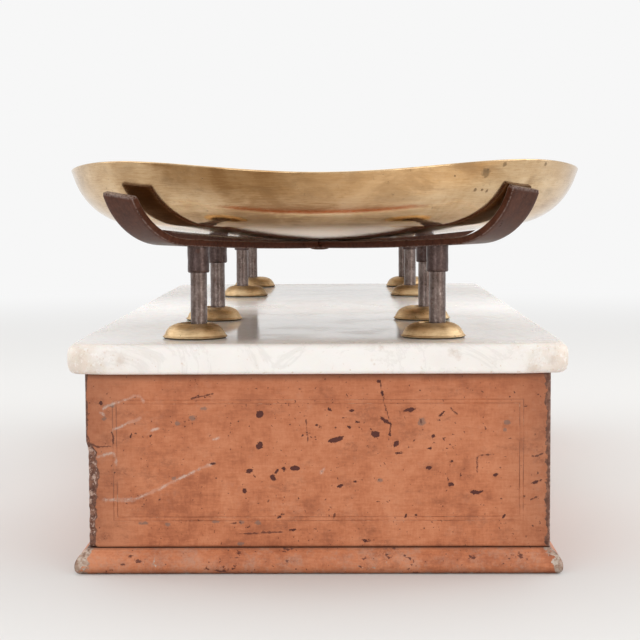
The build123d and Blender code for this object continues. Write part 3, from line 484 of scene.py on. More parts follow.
def paint(name, along, near_face=False, dusty=0.12, under=WORN_WOOD):
    """Old terracotta paint with brush marks along the board, chips, knocks, dust, worn edges, dirt and
    painted shade.
    """
    stretch = (0.15, 1.0, 1.0) if along == "X" else (1.0, 0.15, 1.0)

    def build(t):
        place = t.place()
        streaks = t.noise(t.scaled(place, *stretch), 800.0, 4.0, 0.65)
        weave = t.noise(t.scaled(place, 1.0, 1.0, 0.2), 900.0)
        clouds = t.noise(place, 24.0, 5.0, 0.62, 0.4)
        mottle = t.noise(place, 160.0)
        grain = t.noise(place, 620.0, 3.0, 0.7)
        tone = t.blend((clouds, 0.42), (mottle, 0.20), (streaks, 0.19), (weave, 0.11), (grain, 0.12))
        colour = t.ramp(tone, (0.415, PAINT_DARK), (0.50, PAINT), (0.59, PAINT_PALE))
        smoky = t.noise(t.scaled(place, 0.7, 0.7, 1.4), 60.0, 5.0, 0.68)
        smoky = t.times(t.step(smoky, 0.50, 0.68), t.step(grain, 0.32, 0.60))
        colour = t.tint(colour, smoky, 0.65, SMOKE)
        # Painted shade: the paint turns darker towards the top, under the slab's overhang.
        height = t.split(place)["Z"]
        colour = t.tint(colour, t.step(height, 35 * MM, 122 * MM), 0.24, PAINT_DARK)
        wear, grime_and_shade, groove = t.split(t.layer("wear")["Color"])
        lines = t.times(groove, t.step(t.noise(place, 45.0, 3.0, 0.7), 0.34, 0.56))
        colour = t.tint(colour, lines, 0.75, GROOVE_DARK)
        glints = t.times(lines, t.step(t.noise(place, 200.0), 0.55, 0.62))
        colour = t.tint(colour, glints, 0.8, GROOVE_GLINT)
        bare = t.step(t.add(wear, t.times(t.less(mottle, 0.5), 1.3)), 0.50, 0.60)
        wood = t.ramp(t.noise(place, 330.0, 4.0, 0.65), *under)
        crumbs = t.times(t.step(t.noise(place, 300.0, 4.0, 0.7), 0.50, 0.60), t.step(wear, 0.70, 1.00))
        colour = t.tint(colour, bare, 0.92, t.mix(crumbs, wood, PLASTER))
        dust = t.blend((t.noise(place, 70.0, 4.0, 0.7), 0.6), (t.noise(place, 420.0, 4.0, 0.7), 0.4))
        dust = t.step(dust, 0.56 - 0.25 * dusty, 0.70 - 0.1 * dusty)
        colour = t.tint(colour, dust, min(1.0, 1.2 * dusty), DUST)
        small = t.step(t.noise(place, 480.0, 2.0, 0.5), 0.69, 0.74)
        large = t.noise(t.scaled(place, 0.8, 0.8, 1.2), 140.0, 4.0, 0.7)
        large = t.step(large, 0.73 - 0.27 * dusty, 0.75 - 0.22 * dusty)
        colour = t.tint(colour, t.math("MAXIMUM", small, large), 0.85, CHIP)
        relief = t.blend((t.add(streaks, weave), 0.2), (mottle, 0.35))
        relief = t.less(relief, t.times(bare, 0.8))
        if near_face:
            colour, relief = marked(t, place, colour, relief)
        # Dirt and painted shade from the wear layer: under the slab, towards the board's sides, in the
        # moulding's step and foot.
        colour = t.tint(colour, grime_and_shade, 0.85, GRIME_AND_SHADE)
        return surface(colour, t.add(t.times(clouds, 0.2), 0.45), t.bump(relief, 0.35 * MM, 0.6))
    return material(name, build, Specular_IOR_Level=0.3)


# Brown marks on the slab's near face: X, Y, Z and radius in millimetres
SLAB_MARKS = ((80.5, -332.0, 134.5, 3.2), (84.0, -331.5, 132.0, 2.6), (32.5, -332.0, 130.0, 1.3),
              (34.0, -332.0, 127.5, 1.0), (38.0, -331.0, 137.5, 1.8), (-141.0, -330.0, 133.0, 4.2),
              (-117.0, -332.0, 130.0, 4.5), (128.0, -332.0, 124.5, 5.0), (140.0, -331.0, 130.0, 4.0))


def marble(t):
    """White marble, polished on top, with cloudy grey veins and ochre stains along its edges."""
    place = t.place()
    clouds = t.noise(place, 9.0, 5.0, 0.6, 0.8)
    veins = t.noise(t.scaled(place, 1.0, 0.45, 1.0), 14.0, 6.0, 0.7, 1.6)
    colour = t.ramp(clouds, (0.32, (0.84, 0.80, 0.765)), (0.52, (0.88, 0.855, 0.83)),
                    (0.72, (0.90, 0.89, 0.87)))
    colour = t.tint(colour, t.step(t.math("ABSOLUTE", t.less(veins, 0.5)), 0.035, 0.0), 0.22, VEIN)
    wear, stain, _ = t.split(t.layer("wear")["Color"])
    ochre = t.blend((stain, 0.55), (t.noise(place, 60.0, 4.0, 0.65), 0.7))
    colour = t.tint(colour, t.step(ochre, 0.58, 0.92), 0.40, OCHRE)
    fine = t.noise(place, 380.0, 4.0, 0.65)
    dots = t.step(t.add(fine, t.times(stain, 0.08)), 0.63, 0.74)
    colour = t.mix(t.times(t.times(dots, 0.6), wear), colour, OCHRE_DOT)
    sparks = t.step(t.noise(place, 330.0), 0.56, 0.66)
    colour = t.mix(t.times(t.times(sparks, 0.7), stain), colour, MARBLE_BRIGHT)
    for mark in SLAB_MARKS:
        colour = t.tint(colour, t.spot(place, mark, fine, 2.4, 2.4, 1.1), 0.42, MARBLE_MARK)
    smudges = t.step(t.noise(place, 30.0, 4.0, 0.7), 0.44, 0.62)
    rough = t.add(t.add(0.09, t.times(smudges, 0.05)), t.times(wear, 0.3))
    relief = t.times(t.noise(place, 230.0, 4.0, 0.65), wear)
    return surface(colour, rough, t.bump(relief, 0.4 * MM))


# Dark spots on the near pan: X, Y, Z and radius in millimetres
NEAR_PAN_SPOTS = ((98.6, -346.3, 240.1, 2.9), (110.2, -339.7, 245.3, 1.6), (137.4, -310.7, 245.5, 1.4),
                  (92.4, -345.5, 230.3, 1.1), (96.7, -342.5, 230.3, 0.9), (99.8, -339.8, 229.7, 1.1),
                  (80.0, -357.0, 238.3, 0.7), (8.6, -373.9, 236.0, 0.7))


def pan_brass(centre, marks):
    """Brushed and aged sheet brass: rub marks round the pan, faint stains, dark spots, and a painted darker
    reflection on the upper wall.
    """
    def build(t):
        place = t.place()
        x, y, z = t.split(t.vector("ADD", place, (-centre[0], -centre[1], 0.0))[0])
        turn = t.math("ARCTAN2", y, x)
        radius = t.math("SQRT", t.add(t.times(x, x), t.times(y, y)))
        rubbed = t.node("CombineXYZ", {0: t.times(turn, 0.012), 1: radius, 2: z})[0]
        lines = t.noise(rubbed, 1500.0, 3.0, 0.7)
        bands = t.noise(rubbed, 120.0)
        clouds = t.noise(place, 26.0, 4.0, 0.62, 0.5)
        pits = t.noise(place, 520.0)
        tone = t.add(t.times(clouds, 0.50), t.blend((lines, 0.25), (bands, 0.25)))
        colour = t.ramp(tone, (0.42, BRASS_BROWN), (0.50, BRASS), (0.59, BRASS_PALE))
        # Dull patches on the upper wall: tarnish, and a painted darker reflection there.
        dull_and_reflection = t.noise(t.scaled(place, 0.6, 0.6, 1.6), 55.0, 5.0, 0.68, 0.3)
        dull_and_reflection = t.times(t.step(dull_and_reflection, 0.48, 0.66), t.step(z, 212 * MM, 232 * MM))
        colour = t.tint(colour, dull_and_reflection, 0.5, BRASS_DULL_AND_REFLECTION)
        spots = t.step(t.noise(place, 95.0, 2.0, 0.5), 0.755, 0.79)
        specks = t.times(t.step(t.noise(place, 420.0, 4.0, 0.65), 0.60, 0.70), t.step(clouds, 0.42, 0.58))
        dark = t.math("MAXIMUM", spots, t.times(specks, 0.5))
        for mark in marks:
            dark = t.math("MAXIMUM", dark, t.spot(place, mark, pits, 1.6, 2.1, 1.5))
        colour = t.tint(colour, dark, 0.75, TARNISH)
        # Browner towards the rim: ageing, and a painted darker reflection there.
        aged = t.times(t.step(z, 214 * MM, 240 * MM), t.times(t.step(bands, 0.35, 0.65), 0.5))
        colour = t.mix(aged, colour, BRASS_BROWN)
        dull_wall = t.step(z, 213.5 * MM, 219.5 * MM)
        rough = t.add(t.blend((clouds, 0.05), (lines, 0.05), (dull_wall, 0.06), (aged, 0.10)), 0.015)
        relief = t.blend((lines, 0.6), (pits, 0.4))
        return surface(colour, t.add(rough, t.times(dark, 0.3)), t.bump(relief, 0.08 * MM))
    return build


def fitting_brass(t):
    """Turned brass with a satin patina, and a painted shadow where the domes meet the slab."""
    place = t.place()
    clouds = t.noise(place, 90.0, 4.0, 0.6, 0.3)
    turned = t.noise(t.scaled(place, 1.0, 1.0, 18.0), 160.0)
    tone = t.blend((clouds, 0.6), (turned, 0.4))
    colour = t.ramp(tone, (0.38, (0.46, 0.31, 0.16)), (0.50, (0.68, 0.49, 0.28)), (0.62, (0.80, 0.62, 0.38)))
    colour = t.tint(colour, t.step(t.noise(place, 420.0, 2.0, 0.5), 0.68, 0.74), 0.45, TARNISH)
    # Painted shadow: a dark band round the foot of each dome, just above the slab.
    above = t.less(t.split(place)["Z"], SLAB_TOP)
    foot = t.times(t.step(above, 1.5 * MM, 0.5 * MM), t.step(above, -0.6 * MM, -0.1 * MM))
    colour = t.tint(colour, foot, 0.88, TARNISH)
    return surface(colour, t.add(0.46, t.times(clouds, 0.16)), t.bump(turned, 0.08 * MM, 0.3))


def forged_iron(dark, mid, pale, pitting):
    """Hand-forged iron in three tones, pitted and rusty in places, rubbed bright along its edges, which is
    partly a painted highlight.
    """
    def build(t):
        place = t.place()
        clouds = t.noise(place, 70.0, 4.0, 0.65, 0.4)
        pits = t.noise(place, 620.0, 4.0, 0.65)
        streaks = t.noise(t.scaled(place, 1.0, 1.0, 0.25), 420.0)
        tone = t.blend((t.add(clouds, pits), 0.38), (streaks, 0.24))
        colour = t.ramp(tone, (0.38, dark), (0.50, mid), (0.62, pale))
        colour = t.tint(colour, t.step(t.noise(place, 240.0), 0.58, 0.72), 0.45, IRON_RUST)
        edges, bearing, _ = t.split(t.layer("wear")["Color"])
        colour = t.tint(colour, bearing, 0.8, IRON_BEARING)
        # Rubbed pale edges and tips, partly a painted highlight along them.
        colour = t.tint(colour, t.times(edges, t.step(pits, 0.36, 0.58)), 0.65, IRON_RUBBED_AND_HIGHLIGHT)
        return surface(colour, t.add(0.17, t.times(clouds, 0.28)), t.bump(pits, pitting))
    return build


def cast_iron(t):
    """Black-painted casting with a grainy skin."""
    place = t.place()
    clouds = t.noise(place, 50.0)
    colour = t.ramp(clouds, (0.35, (0.016, 0.016, 0.017)), (0.7, (0.040, 0.038, 0.037)))
    colour = t.tint(colour, t.step(t.noise(place, 120.0), 0.64, 0.74), 0.5, (0.10, 0.045, 0.022))
    return surface(colour, t.add(0.42, t.times(clouds, 0.2)), t.bump(t.noise(place, 700.0), 0.4 * MM))


def ground_steel(t):
    """Ground steel with fine grinding lines and a little rust."""
    place = t.place()
    lines = t.noise(t.scaled(place, 0.06, 1.0, 1.0), 1600.0)
    colour = t.ramp(t.noise(place, 80.0), (0.35, (0.30, 0.29, 0.28)), (0.65, (0.52, 0.51, 0.50)))
    colour = t.tint(colour, t.step(t.noise(place, 150.0), 0.62, 0.72), 0.6, (0.20, 0.09, 0.045))
    return surface(colour, t.add(0.22, t.times(lines, 0.25)), t.bump(lines, 0.08 * MM, 0.4))


def bare_pine(t):
    """Unpainted aged pine with long grain."""
    place = t.place()
    grain = t.noise(t.scaled(place, 1.0, 0.05, 1.0), 220.0, 4.0, 0.6, 0.6)
    tone = t.blend((grain, 0.7), (t.noise(place, 18.0), 0.3))
    colour = t.ramp(tone, (0.35, (0.22, 0.12, 0.06)), (0.55, (0.42, 0.27, 0.15)), (0.7, (0.52, 0.37, 0.22)))
    return surface(colour, t.add(0.6, t.times(grain, 0.2)), t.bump(grain, 0.3 * MM))


def old_glass(t):
    """Clear glass with a breath of dust."""
    return {"Roughness": t.times(t.step(t.noise(t.place(), 120.0), 0.5, 0.8), 0.25)}


MARBLE = material("marble", marble, IOR=1.5, Subsurface_Weight=0.08, Subsurface_Scale=4 * MM)
FITTING_BRASS = material("fitting_brass", fitting_brass, Metallic=1.0)
bar_tones = ((0.042, 0.014, 0.008), (0.070, 0.024, 0.013), (0.100, 0.036, 0.021))
rod_tones = ((0.095, 0.068, 0.060), (0.17, 0.13, 0.118), (0.30, 0.25, 0.235))
socket_tones = ((0.050, 0.032, 0.029), (0.085, 0.056, 0.052), (0.15, 0.11, 0.105))
BAR_IRON = material("bar_iron", forged_iron(*bar_tones, 0.08 * MM), Specular_IOR_Level=0.1)
ROD_IRON = material("rod_iron", forged_iron(*rod_tones, 0.22 * MM), Metallic=0.9)
SOCKET_IRON = material("socket_iron", forged_iron(*socket_tones, 0.22 * MM), Metallic=0.75)
PAINT_NEAR = paint("paint_near_end", "X", near_face=True)
PAINT_ENDS = paint("paint_ends", "X")
PAINT_SIDES = paint("paint_sides", "Y")
PAINT_MOULDING_ENDS = paint("paint_moulding_ends", "X", dusty=0.4, under=WORN_MOULDING)
PAINT_MOULDING_SIDES = paint("paint_moulding_sides", "Y", dusty=0.4, under=WORN_MOULDING)
FINISHES = {"marble": MARBLE, "painted_wood": PAINT_SIDES, "fitting_brass": FITTING_BRASS,
            "dark_iron": BAR_IRON, "pan_brass": FITTING_BRASS,
            "bare_wood": material("bare_pine", bare_pine),
            "black_iron": material("cast_iron", cast_iron, Metallic=0.2),
            "steel": material("ground_steel", ground_steel, Metallic=1.0),
            "glass": material("old_glass", old_glass, Transmission_Weight=1.0, IOR=1.45,
                              Base_Color=(0.93, 0.96, 0.95))}

for row in frame["record"]["subparts"]:
    node_mesh = frame["nodes"][row["node"]].data
    node_mesh.materials.clear()
    node_mesh.materials.append(FINISHES[row["material_slot"]])


# ---- Marble top ----

def round_places(node, radius):
    """Centres of the four round things under a pan, from their node's box and their radius."""
    low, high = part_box(node)
    return [(x, y) for x in (low.x + radius, high.x - radius) for y in (low.y + radius, high.y - radius)]


def rod_places(end):
    return round_places(f"rods_{end}", ROD_RADIUS)


def dome_places(end):
    return round_places(f"escutcheons_{end}", DOME_RADIUS)


def from_slab_edges(x, y):
    """How far a point is in from the slab's long and short edges."""
    return Vector((SLAB_HIGH.x - abs(x), SLAB_HIGH.y - abs(y)))


def slab_levels():
    """The slab's rounded edge from its bottom up, as (inset, height)."""
    side_steps = 4
    turn_steps = 6
    flat_edge = 0.5 * MM
    bottom = SLAB_LOW.z + SLAB_BOTTOM_ROUND
    top = SLAB_TOP - SLAB_TOP_ROUND
    levels = [(flat_edge + SLAB_BOTTOM_ROUND, SLAB_LOW.z)]
    levels += [(SLAB_BOTTOM_ROUND - x, bottom + z)
               for x, z in arc_points((0, 0), SLAB_BOTTOM_ROUND, -90, 0, turn_steps)]
    levels += [(0.0, bottom + (top - bottom) * i / side_steps) for i in range(1, side_steps)]
    levels += [(SLAB_TOP_ROUND - x, top + z)
               for x, z in arc_points((0, 0), SLAB_TOP_ROUND, 0, 90, turn_steps)]
    return levels + [(flat_edge + SLAB_TOP_ROUND, SLAB_TOP)]


def slab_chip(x, y, z, inset):
    """How far the slab's edge is chipped, uneven, and knocked off at its corners, at a point."""
    rounded = min(1.0, inset / SLAB_BOTTOM_ROUND)
    chip = 1.1 * MM * rounded * max(0.0, wobble(x, y, z, 11 * MM, 3.0) - 0.34)
    uneven = 0.25 * MM * max(0.0, wobble(x, y, z, 60 * MM, 5.0))
    corner = fall(from_slab_edges(x, y).length, 26 * MM)
    return chip + uneven + 5.0 * MM * corner * fall(min(z - SLAB_LOW.z, SLAB_TOP - z), 8 * MM) ** 2


def slab_wear(at):
    """The slab's wear layer at a point: worn along its edges, stained at its corners and foot."""
    edges = from_slab_edges(at.x, at.y)
    foot = fall(at.z - SLAB_LOW.z, 6 * MM) * fall(min(edges), 6 * MM)
    return fall(min(edges), 9 * MM), max(fall(edges.length, 60 * MM), 0.6 * foot), 0.0


def make_slab():
    """The marble slab: rounded and lightly chipped edges, and a well for each rod."""
    levels = slab_levels()
    bm = bmesh.new()
    made = []
    for inset, z in levels:
        corner = max(SLAB_CORNER - inset, 1.5 * MM)
        for x, y in rounded_loop(SLAB_HIGH.x - inset, SLAB_HIGH.y - inset, corner, 60, 120, 10):
            away = Vector((x, y)).normalized() * slab_chip(x, y, z, inset)
            made.append(bm.verts.new((x - away.x, y - away.y, z)))
    loop = len(made) // len(levels)
    for face in grid_faces(len(levels), loop, wrap=True):
        bm.faces.new([made[i] for i in face])
    well_steps = 40
    rims = []
    for z, ring in ((SLAB_LOW.z, made[:loop]), (SLAB_TOP, made[-loop:])):
        outlines = [ring]
        for centre in dome_places("near") + dome_places("far"):
            outlines.append([bm.verts.new(point) for point in circle(centre, WELL_RADIUS, z, well_steps)])
        edges = []
        for outline in outlines:
            for a, b in zip(outline, outline[1:] + outline[:1]):
                edges.append(bm.edges.get((a, b)) or bm.edges.new((a, b)))
        bmesh.ops.triangle_fill(bm, use_beauty=True, edges=edges)
        rims.append(outlines[1:])
    for low, high in zip(*rims):
        for j in range(well_steps):
            k = (j + 1) % well_steps
            bm.faces.new((low[k], low[j], high[j], high[k]))
    bmesh.ops.recalc_face_normals(bm, faces=bm.faces)
    mesh = bpy.data.meshes.new("slab")
    bm.to_mesh(mesh)
    bm.free()
    write_layer(mesh, "wear", [(*slab_wear(vertex.co), 1.0) for vertex in mesh.vertices])
    return mesh


piece("marble_slab", make_slab(), MARBLE, "root", "marble_top")


# ---- Case boards ----

def board_places(half, step):
    """Places along a board from edge to edge: even, but finer at the edges and at the grooves."""
    grooves = [side * (half - inset + shift * GROOVE_HALF)
               for inset in GROOVES for shift in (-1, 0, 1) for side in (-1, 1)]
    places = {-half, half} | set(grooves)
    for inset in (0.2, 0.5, 0.9, 1.5, 2.2):
        places |= {-half + inset * MM, half - inset * MM}
    even_half = half - 3 * MM
    count = round(2 * even_half / step)
    for i in range(count + 1):
        at = even_half * (2 * i / count - 1)
        if min(abs(at - groove) for groove in grooves) > 0.2 * MM:
            places.add(at)
    return sorted(places)


def groove_distances(u, v, half_u, half_v):
    """Distance of a board's point to each of its grooves."""
    return [abs(max(abs(u) - half_u, abs(v) - half_v) + inset) for inset in GROOVES]


def board_vertex(u, v, half_u, half_v, broken):
    """Depth of a board's face at (u, v), and how far its edge has been knocked in."""
    edge_u = half_u - abs(u)
    edge_v = half_v - abs(v)
    a = max(0.0, EDGE_ROUND - edge_u)
    b = max(0.0, EDGE_ROUND - edge_v)
    depth = EDGE_ROUND - sqrt(max(0.0, EDGE_ROUND ** 2 - a * a - b * b))
    for inset, off in zip(GROOVES, groove_distances(u, v, half_u, half_v)):
        depth += GROOVE_DEEP * fall(off, GROOVE_HALF) * (0.6 + 0.5 * wobble(u, v, inset, 25 * MM, 3.0))
    depth += 0.10 * MM * (1 + wobble(u, v, 0.0, 70 * MM, 2.0))
    knock = 0.35 * MM * max(0.0, wobble(u, v, half_u, 11 * MM, 4.0)) * fall(min(edge_u, edge_v), 2 * MM)
    splinter = min(1.0, 2.5 * fall(edge_u, 1.6 * broken)) if broken else 0.0
    return depth + knock + 0.55 * broken * splinter, 0.32 * broken * fall(edge_u, 16 * MM)


def board_wear(u, v, half_u, half_v, broken):
    """A board's wear layer at (u, v): worn at its edges, darkened by dirt and painted shade, and its
    grooves.
    """
    edge = half_u - abs(u)
    worn = max(0.95 * fall(edge, 6.5 * MM if u > 0 else 3.0 * MM), 0.4 * fall(half_v - abs(v), 1.6 * MM))
    if broken:
        wide = broken * (0.8 + 0.7 * fall(abs(v + 8 * MM), 22 * MM))
        worn = max(worn, 1.25 * fall(max(0.0, edge - wide), 3.5 * MM))
    # Dirt and painted shade under the slab, darker along the foot, and painted shade towards the side edges.
    dirt_and_shade = max(fall(half_v - v, 5.5 * MM), 0.9 * fall(half_v + v, 1.8 * MM), 0.38 * fall(edge, 38 * MM))
    groove = 0.0
    if min(groove_distances(u, v, half_u, half_v)) < GROOVE_HALF / 2:
        groove = 1.0 if abs(u) - half_u > abs(v) - half_v else 0.55
    return worn, dirt_and_shade, groove


def near_break(u, v):
    """How wide the near end's left edge is broken off, from its foot to above its middle."""
    if u > 0.0:
        return 0.0
    height = v + BOARD_MIDDLE_Z
    rise = min(1.0, max(0.0, (80 * MM - height) / (4 * MM)))
    ragged = 0.35 * wobble(0.0, 0.0, height, 8 * MM, 7.0) + 0.2 * wobble(0.0, 0.0, height, 3 * MM, 9.0)
    return rise * 4.5 * MM * (0.75 + ragged)


def make_board(half_u, outward, offset, break_at=None, step=4.0 * MM):
    """A board standing on the moulding; outward is its face's direction and offset how far out it is."""
    half_v = (CASE_TOP - CASE_BOTTOM) / 2
    along = Vector((-outward[1], outward[0], 0.0))
    out = Vector((*outward, 0.0))
    places_v = board_places(half_v, step)
    places_u = board_places(half_u, step)
    vertices = []
    wear = []
    for v in places_v:
        for u in places_u:
            broken = break_at(u, v) if break_at else 0.0
            depth, shift = board_vertex(u, v, half_u, half_v, broken)
            moved = along * (u + (shift if u < 0 else -shift))
            vertices.append(tuple(moved + out * (offset - depth) + Vector((0, 0, BOARD_MIDDLE_Z + v))))
            wear.append(board_wear(u, v, half_u, half_v, broken))
    rows = len(places_v)
    columns = len(places_u)
    faces = grid_faces(rows, columns)
    rim = list(range(columns))
    rim += [i * columns + columns - 1 for i in range(1, rows)]
    rim += [(rows - 1) * columns + j for j in range(columns - 2, -1, -1)]
    rim += [i * columns for i in range(rows - 2, 0, -1)]
    back = len(vertices)
    for k in rim:
        at = Vector(vertices[k])
        vertices.append(tuple(at + out * (offset - BOARD - at.dot(out))))
        wear.append((0.1, 0.0, 0.0))
    for i, k in enumerate(rim):
        following = (i + 1) % len(rim)
        faces.append((rim[following], k, back + i, back + following))
    faces.append(tuple(back + i for i in range(len(rim) - 1, -1, -1)))
    return new_mesh(vertices, faces, wear)


def cut_by(mesh, vertices, faces):
    """The mesh with a closed shape cut out of it."""
    whole = bpy.data.objects.new("whole", mesh)
    cutter = bpy.data.objects.new("cutter", new_mesh(vertices, faces))
    for obj in (whole, cutter):
        scene.collection.objects.link(obj)
    cut = whole.modifiers.new("cut", "BOOLEAN")
    cut.operation = "DIFFERENCE"
    cut.solver = "EXACT"
    cut.object = cutter
    result = bpy.data.meshes.new_from_object(whole.evaluated_get(bpy.context.evaluated_depsgraph_get()))
    bpy.data.objects.remove(whole)
    bpy.data.objects.remove(cutter)
    return result


def make_window_hole():
    """A closed shape through the right board, as large as the bezel's inside."""
    loop = rounded_loop((WINDOW_HIGH.y - WINDOW_LOW.y) / 2 - BEZEL_WIDTH,
                        (WINDOW_HIGH.z - WINDOW_LOW.z) / 2 - BEZEL_WIDTH, 10.0 * MM, 6, 14, 8)
    hole = [(x, y, z + WINDOW_Z)
            for x in (CASE_HALF_WIDTH - 2 * BOARD, CASE_HALF_WIDTH + BOARD) for y, z in loop]
    count = len(loop)
    ends = [tuple(range(count - 1, -1, -1)), tuple(range(count, 2 * count))]
    return hole, grid_faces(2, count, wrap=True) + ends


near_board = make_board(CASE_HALF_WIDTH, (0, -1), CASE_HALF_LENGTH, near_break, 0.8 * MM)
mark_paint(near_board)
inner_half_length = CASE_HALF_LENGTH - BOARD
left_board = make_board(inner_half_length, (-1, 0), CASE_HALF_WIDTH)
right_board = cut_by(make_board(inner_half_length, (1, 0), CASE_HALF_WIDTH), *make_window_hole())
for name, mesh, finish, node in (
        ("end_board_near", near_board, PAINT_NEAR, "case_end_near"),
        ("end_board_far", make_board(CASE_HALF_WIDTH, (0, 1), CASE_HALF_LENGTH), PAINT_ENDS, "case_end_far"),
        ("side_board_left", left_board, PAINT_SIDES, "case_side_left"),
        ("side_board_right", right_board, PAINT_SIDES, "case_side_right")):
    piece(name, mesh, finish, "root", node)


# ---- Base moulding ----

# The moulding's outline: how far it stands out from the case, and its height, in millimetres
MOULDING_OUTLINE = (
    (-27.0, 0.0), (3.4, 0.0), (5.0, 0.5), (6.2, 1.6), (6.85, 3.0), (7.0, 4.8), (6.85, 6.6), (6.3, 8.4),
    (5.4, 10.0), (4.2, 11.5), (2.8, 12.8), (1.4, 13.9), (0.6, 14.5), (0.45, 15.0), (-0.4, 15.2),
    (-27.0, 15.2))
MOULDING_PROJECTION = 7.0 * MM


def make_moulding(outward, case_offset, case_half_run):
    """A mitred base moulding, its nose rounded over and knocked about."""
    along = Vector((-outward[1], outward[0], 0.0))
    out = Vector((*outward, 0.0))
    steps = round(2 * case_half_run / (3.5 * MM))
    vertices = []
    wear = []
    for project, z in ((project * MM, z * MM) for project, z in MOULDING_OUTLINE):
        nose = min(1.0, max(0.0, project / MOULDING_PROJECTION))
        painted_step_shade = 0.8 * fall(project, 1.2 * MM) if z > 10 * MM else 0.0
        for i in range(steps + 1):
            run = (case_half_run + project) * (2 * i / steps - 1)
            at = out * (case_offset + project) + along * run
            uneven = 0.22 * MM * (1 + wobble(at.x, at.y, z, 14 * MM, 6.0))
            dent = 0.6 * MM * max(0.0, wobble(at.x, at.y, z, 6 * MM, 8.0) - 0.35)
            vertices.append(tuple(at - out * nose * (uneven + dent) + Vector((0, 0, z))))
            corner = fall(case_half_run + project - abs(run), 13 * MM)
            # Nose wear is partly a painted highlight; painted shade in the step up to the board and towards
            # the foot.
            wear.append((max(0.30 * nose, 0.95 * corner, 0.5 if z < 1 * MM else 0.0),
                         max(painted_step_shade, 0.6 * fall(z, 4.5 * MM)), 0.0))
    rows = len(MOULDING_OUTLINE)
    columns = steps + 1
    faces = grid_faces(rows, columns)
    last = (rows - 1) * columns
    faces += [(last + i, last + i + 1, i + 1, i) for i in range(steps)]
    faces.append(tuple(r * columns for r in range(rows - 1, -1, -1)))
    faces.append(tuple(r * columns + steps for r in range(rows)))
    return new_mesh(vertices, faces, wear)


for name, outward, offset, half_run, finish in (
        ("near", (0, -1), CASE_HALF_LENGTH, CASE_HALF_WIDTH, PAINT_MOULDING_ENDS),
        ("far", (0, 1), CASE_HALF_LENGTH, CASE_HALF_WIDTH, PAINT_MOULDING_ENDS),
        ("left", (-1, 0), CASE_HALF_WIDTH, CASE_HALF_LENGTH, PAINT_MOULDING_SIDES),
        ("right", (1, 0), CASE_HALF_WIDTH, CASE_HALF_LENGTH, PAINT_MOULDING_SIDES)):
    piece(f"moulding_{name}", make_moulding(outward, offset, half_run), finish, "root",
          f"plinth_{name}", angle=50.0)


# ---- Escutcheons ----

def smooth_outline(points, steps=4):
    """A Catmull-Rom curve through the points."""
    curve = []
    for i in range(len(points) - 1):
        near_four = (points[max(i - 1, 0)], points[i], points[i + 1], points[min(i + 2, len(points) - 1)])
        for k in range(steps):
            t = k / steps
            curve.append(tuple(0.5 * (2 * b + (c - a) * t + (2 * a - 5 * b + 4 * c - d) * t * t
                                      + (3 * b - a - 3 * c + d) * t ** 3)
                               for a, b, c, d in zip(*near_four)))
    return curve + [points[-1]]


# Radius and height above the slab, in millimetres
DOME_OUTLINE = smooth_outline(((19.3, 0.0), (19.5, 0.5), (20.2, 0.9), (19.9, 1.4), (19.2, 2.0), (18.6, 3.3),
                               (17.5, 5.2), (15.9, 6.9), (13.8, 8.1), (11.6, 8.9), (10.3, 9.2), (9.5, 9.2),
                               (9.0, 8.8)))


def make_domes(end):
    """Pressed brass escutcheons: a thin foot, a swept-up side and a rolled edge round the hole."""
    outer = [(x * MM, SLAB_TOP + z * MM) for x, z in DOME_OUTLINE]
    inner = [(x - DOME_SHEET if x > 12 * MM else x, max(z - DOME_SHEET, SLAB_TOP))
             for x, z in reversed(outer[1:-1])]
    return new_mesh(*beaten_lathes(dome_places(end), outer + inner, 96, 0.10 * MM, 1.0, 0.9, 5.0))


for end in ENDS:
    piece(f"escutcheon_domes_{end}", make_domes(end), FITTING_BRASS, "root",
          f"escutcheons_{end}", angle=60.0)


# ---- Rods, sockets and cradles ----

def make_rods(end):
    """Wrought rods, not quite even along their length, with a worn top edge."""
    low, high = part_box(f"rods_{end}")
    steps = 90
    worn = 0.8 * MM
    profile = [(0.0, low.z)]
    profile += [(ROD_RADIUS, low.z + (high.z - worn - low.z) * i / steps) for i in range(steps + 1)]
    profile += [(ROD_RADIUS - worn, high.z), (0.0, high.z)]
    return new_mesh(*beaten_lathes(rod_places(end), profile, 40, 0.10 * MM, 3 * MM, 7 * MM, 3.0,
                                   ROD_RADIUS / 2))


def bar_height(reach, below=0.0):
    """Height of a bar's upper face, or so far below it, at a distance from the cradle's middle."""
    return BAR_TOP + BAR_BOW_RADIUS - sqrt((BAR_BOW_RADIUS + below) ** 2 - reach ** 2)


def make_sockets(end):
    """Forged sockets under the bars, rough outside, with a chamfered mouth."""
    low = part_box(f"cradle_sockets_{end}")[0].z
    reach = sqrt(2) * (rod_places(end)[-1][0])
    into_bar = 0.3 * MM
    top = bar_height(reach, BAR_THICKNESS) + into_bar
    steps = 16
    chamfer = 0.5 * MM
    foot = low + 0.7 * MM
    profile = [(SOCKET_RADIUS - chamfer, low)]
    profile += [(SOCKET_RADIUS, foot + (top - foot) * i / steps) for i in range(steps + 1)]
    profile += [(SOCKET_BORE, top), (SOCKET_BORE, low + 0.6 * MM), (SOCKET_BORE + chamfer, low)]
    return new_mesh(*beaten_lathes(rod_places(end), profile, 48, 0.22 * MM, 4 * MM, 5 * MM, 2.0,
                                   SOCKET_RADIUS - 0.6 * MM))


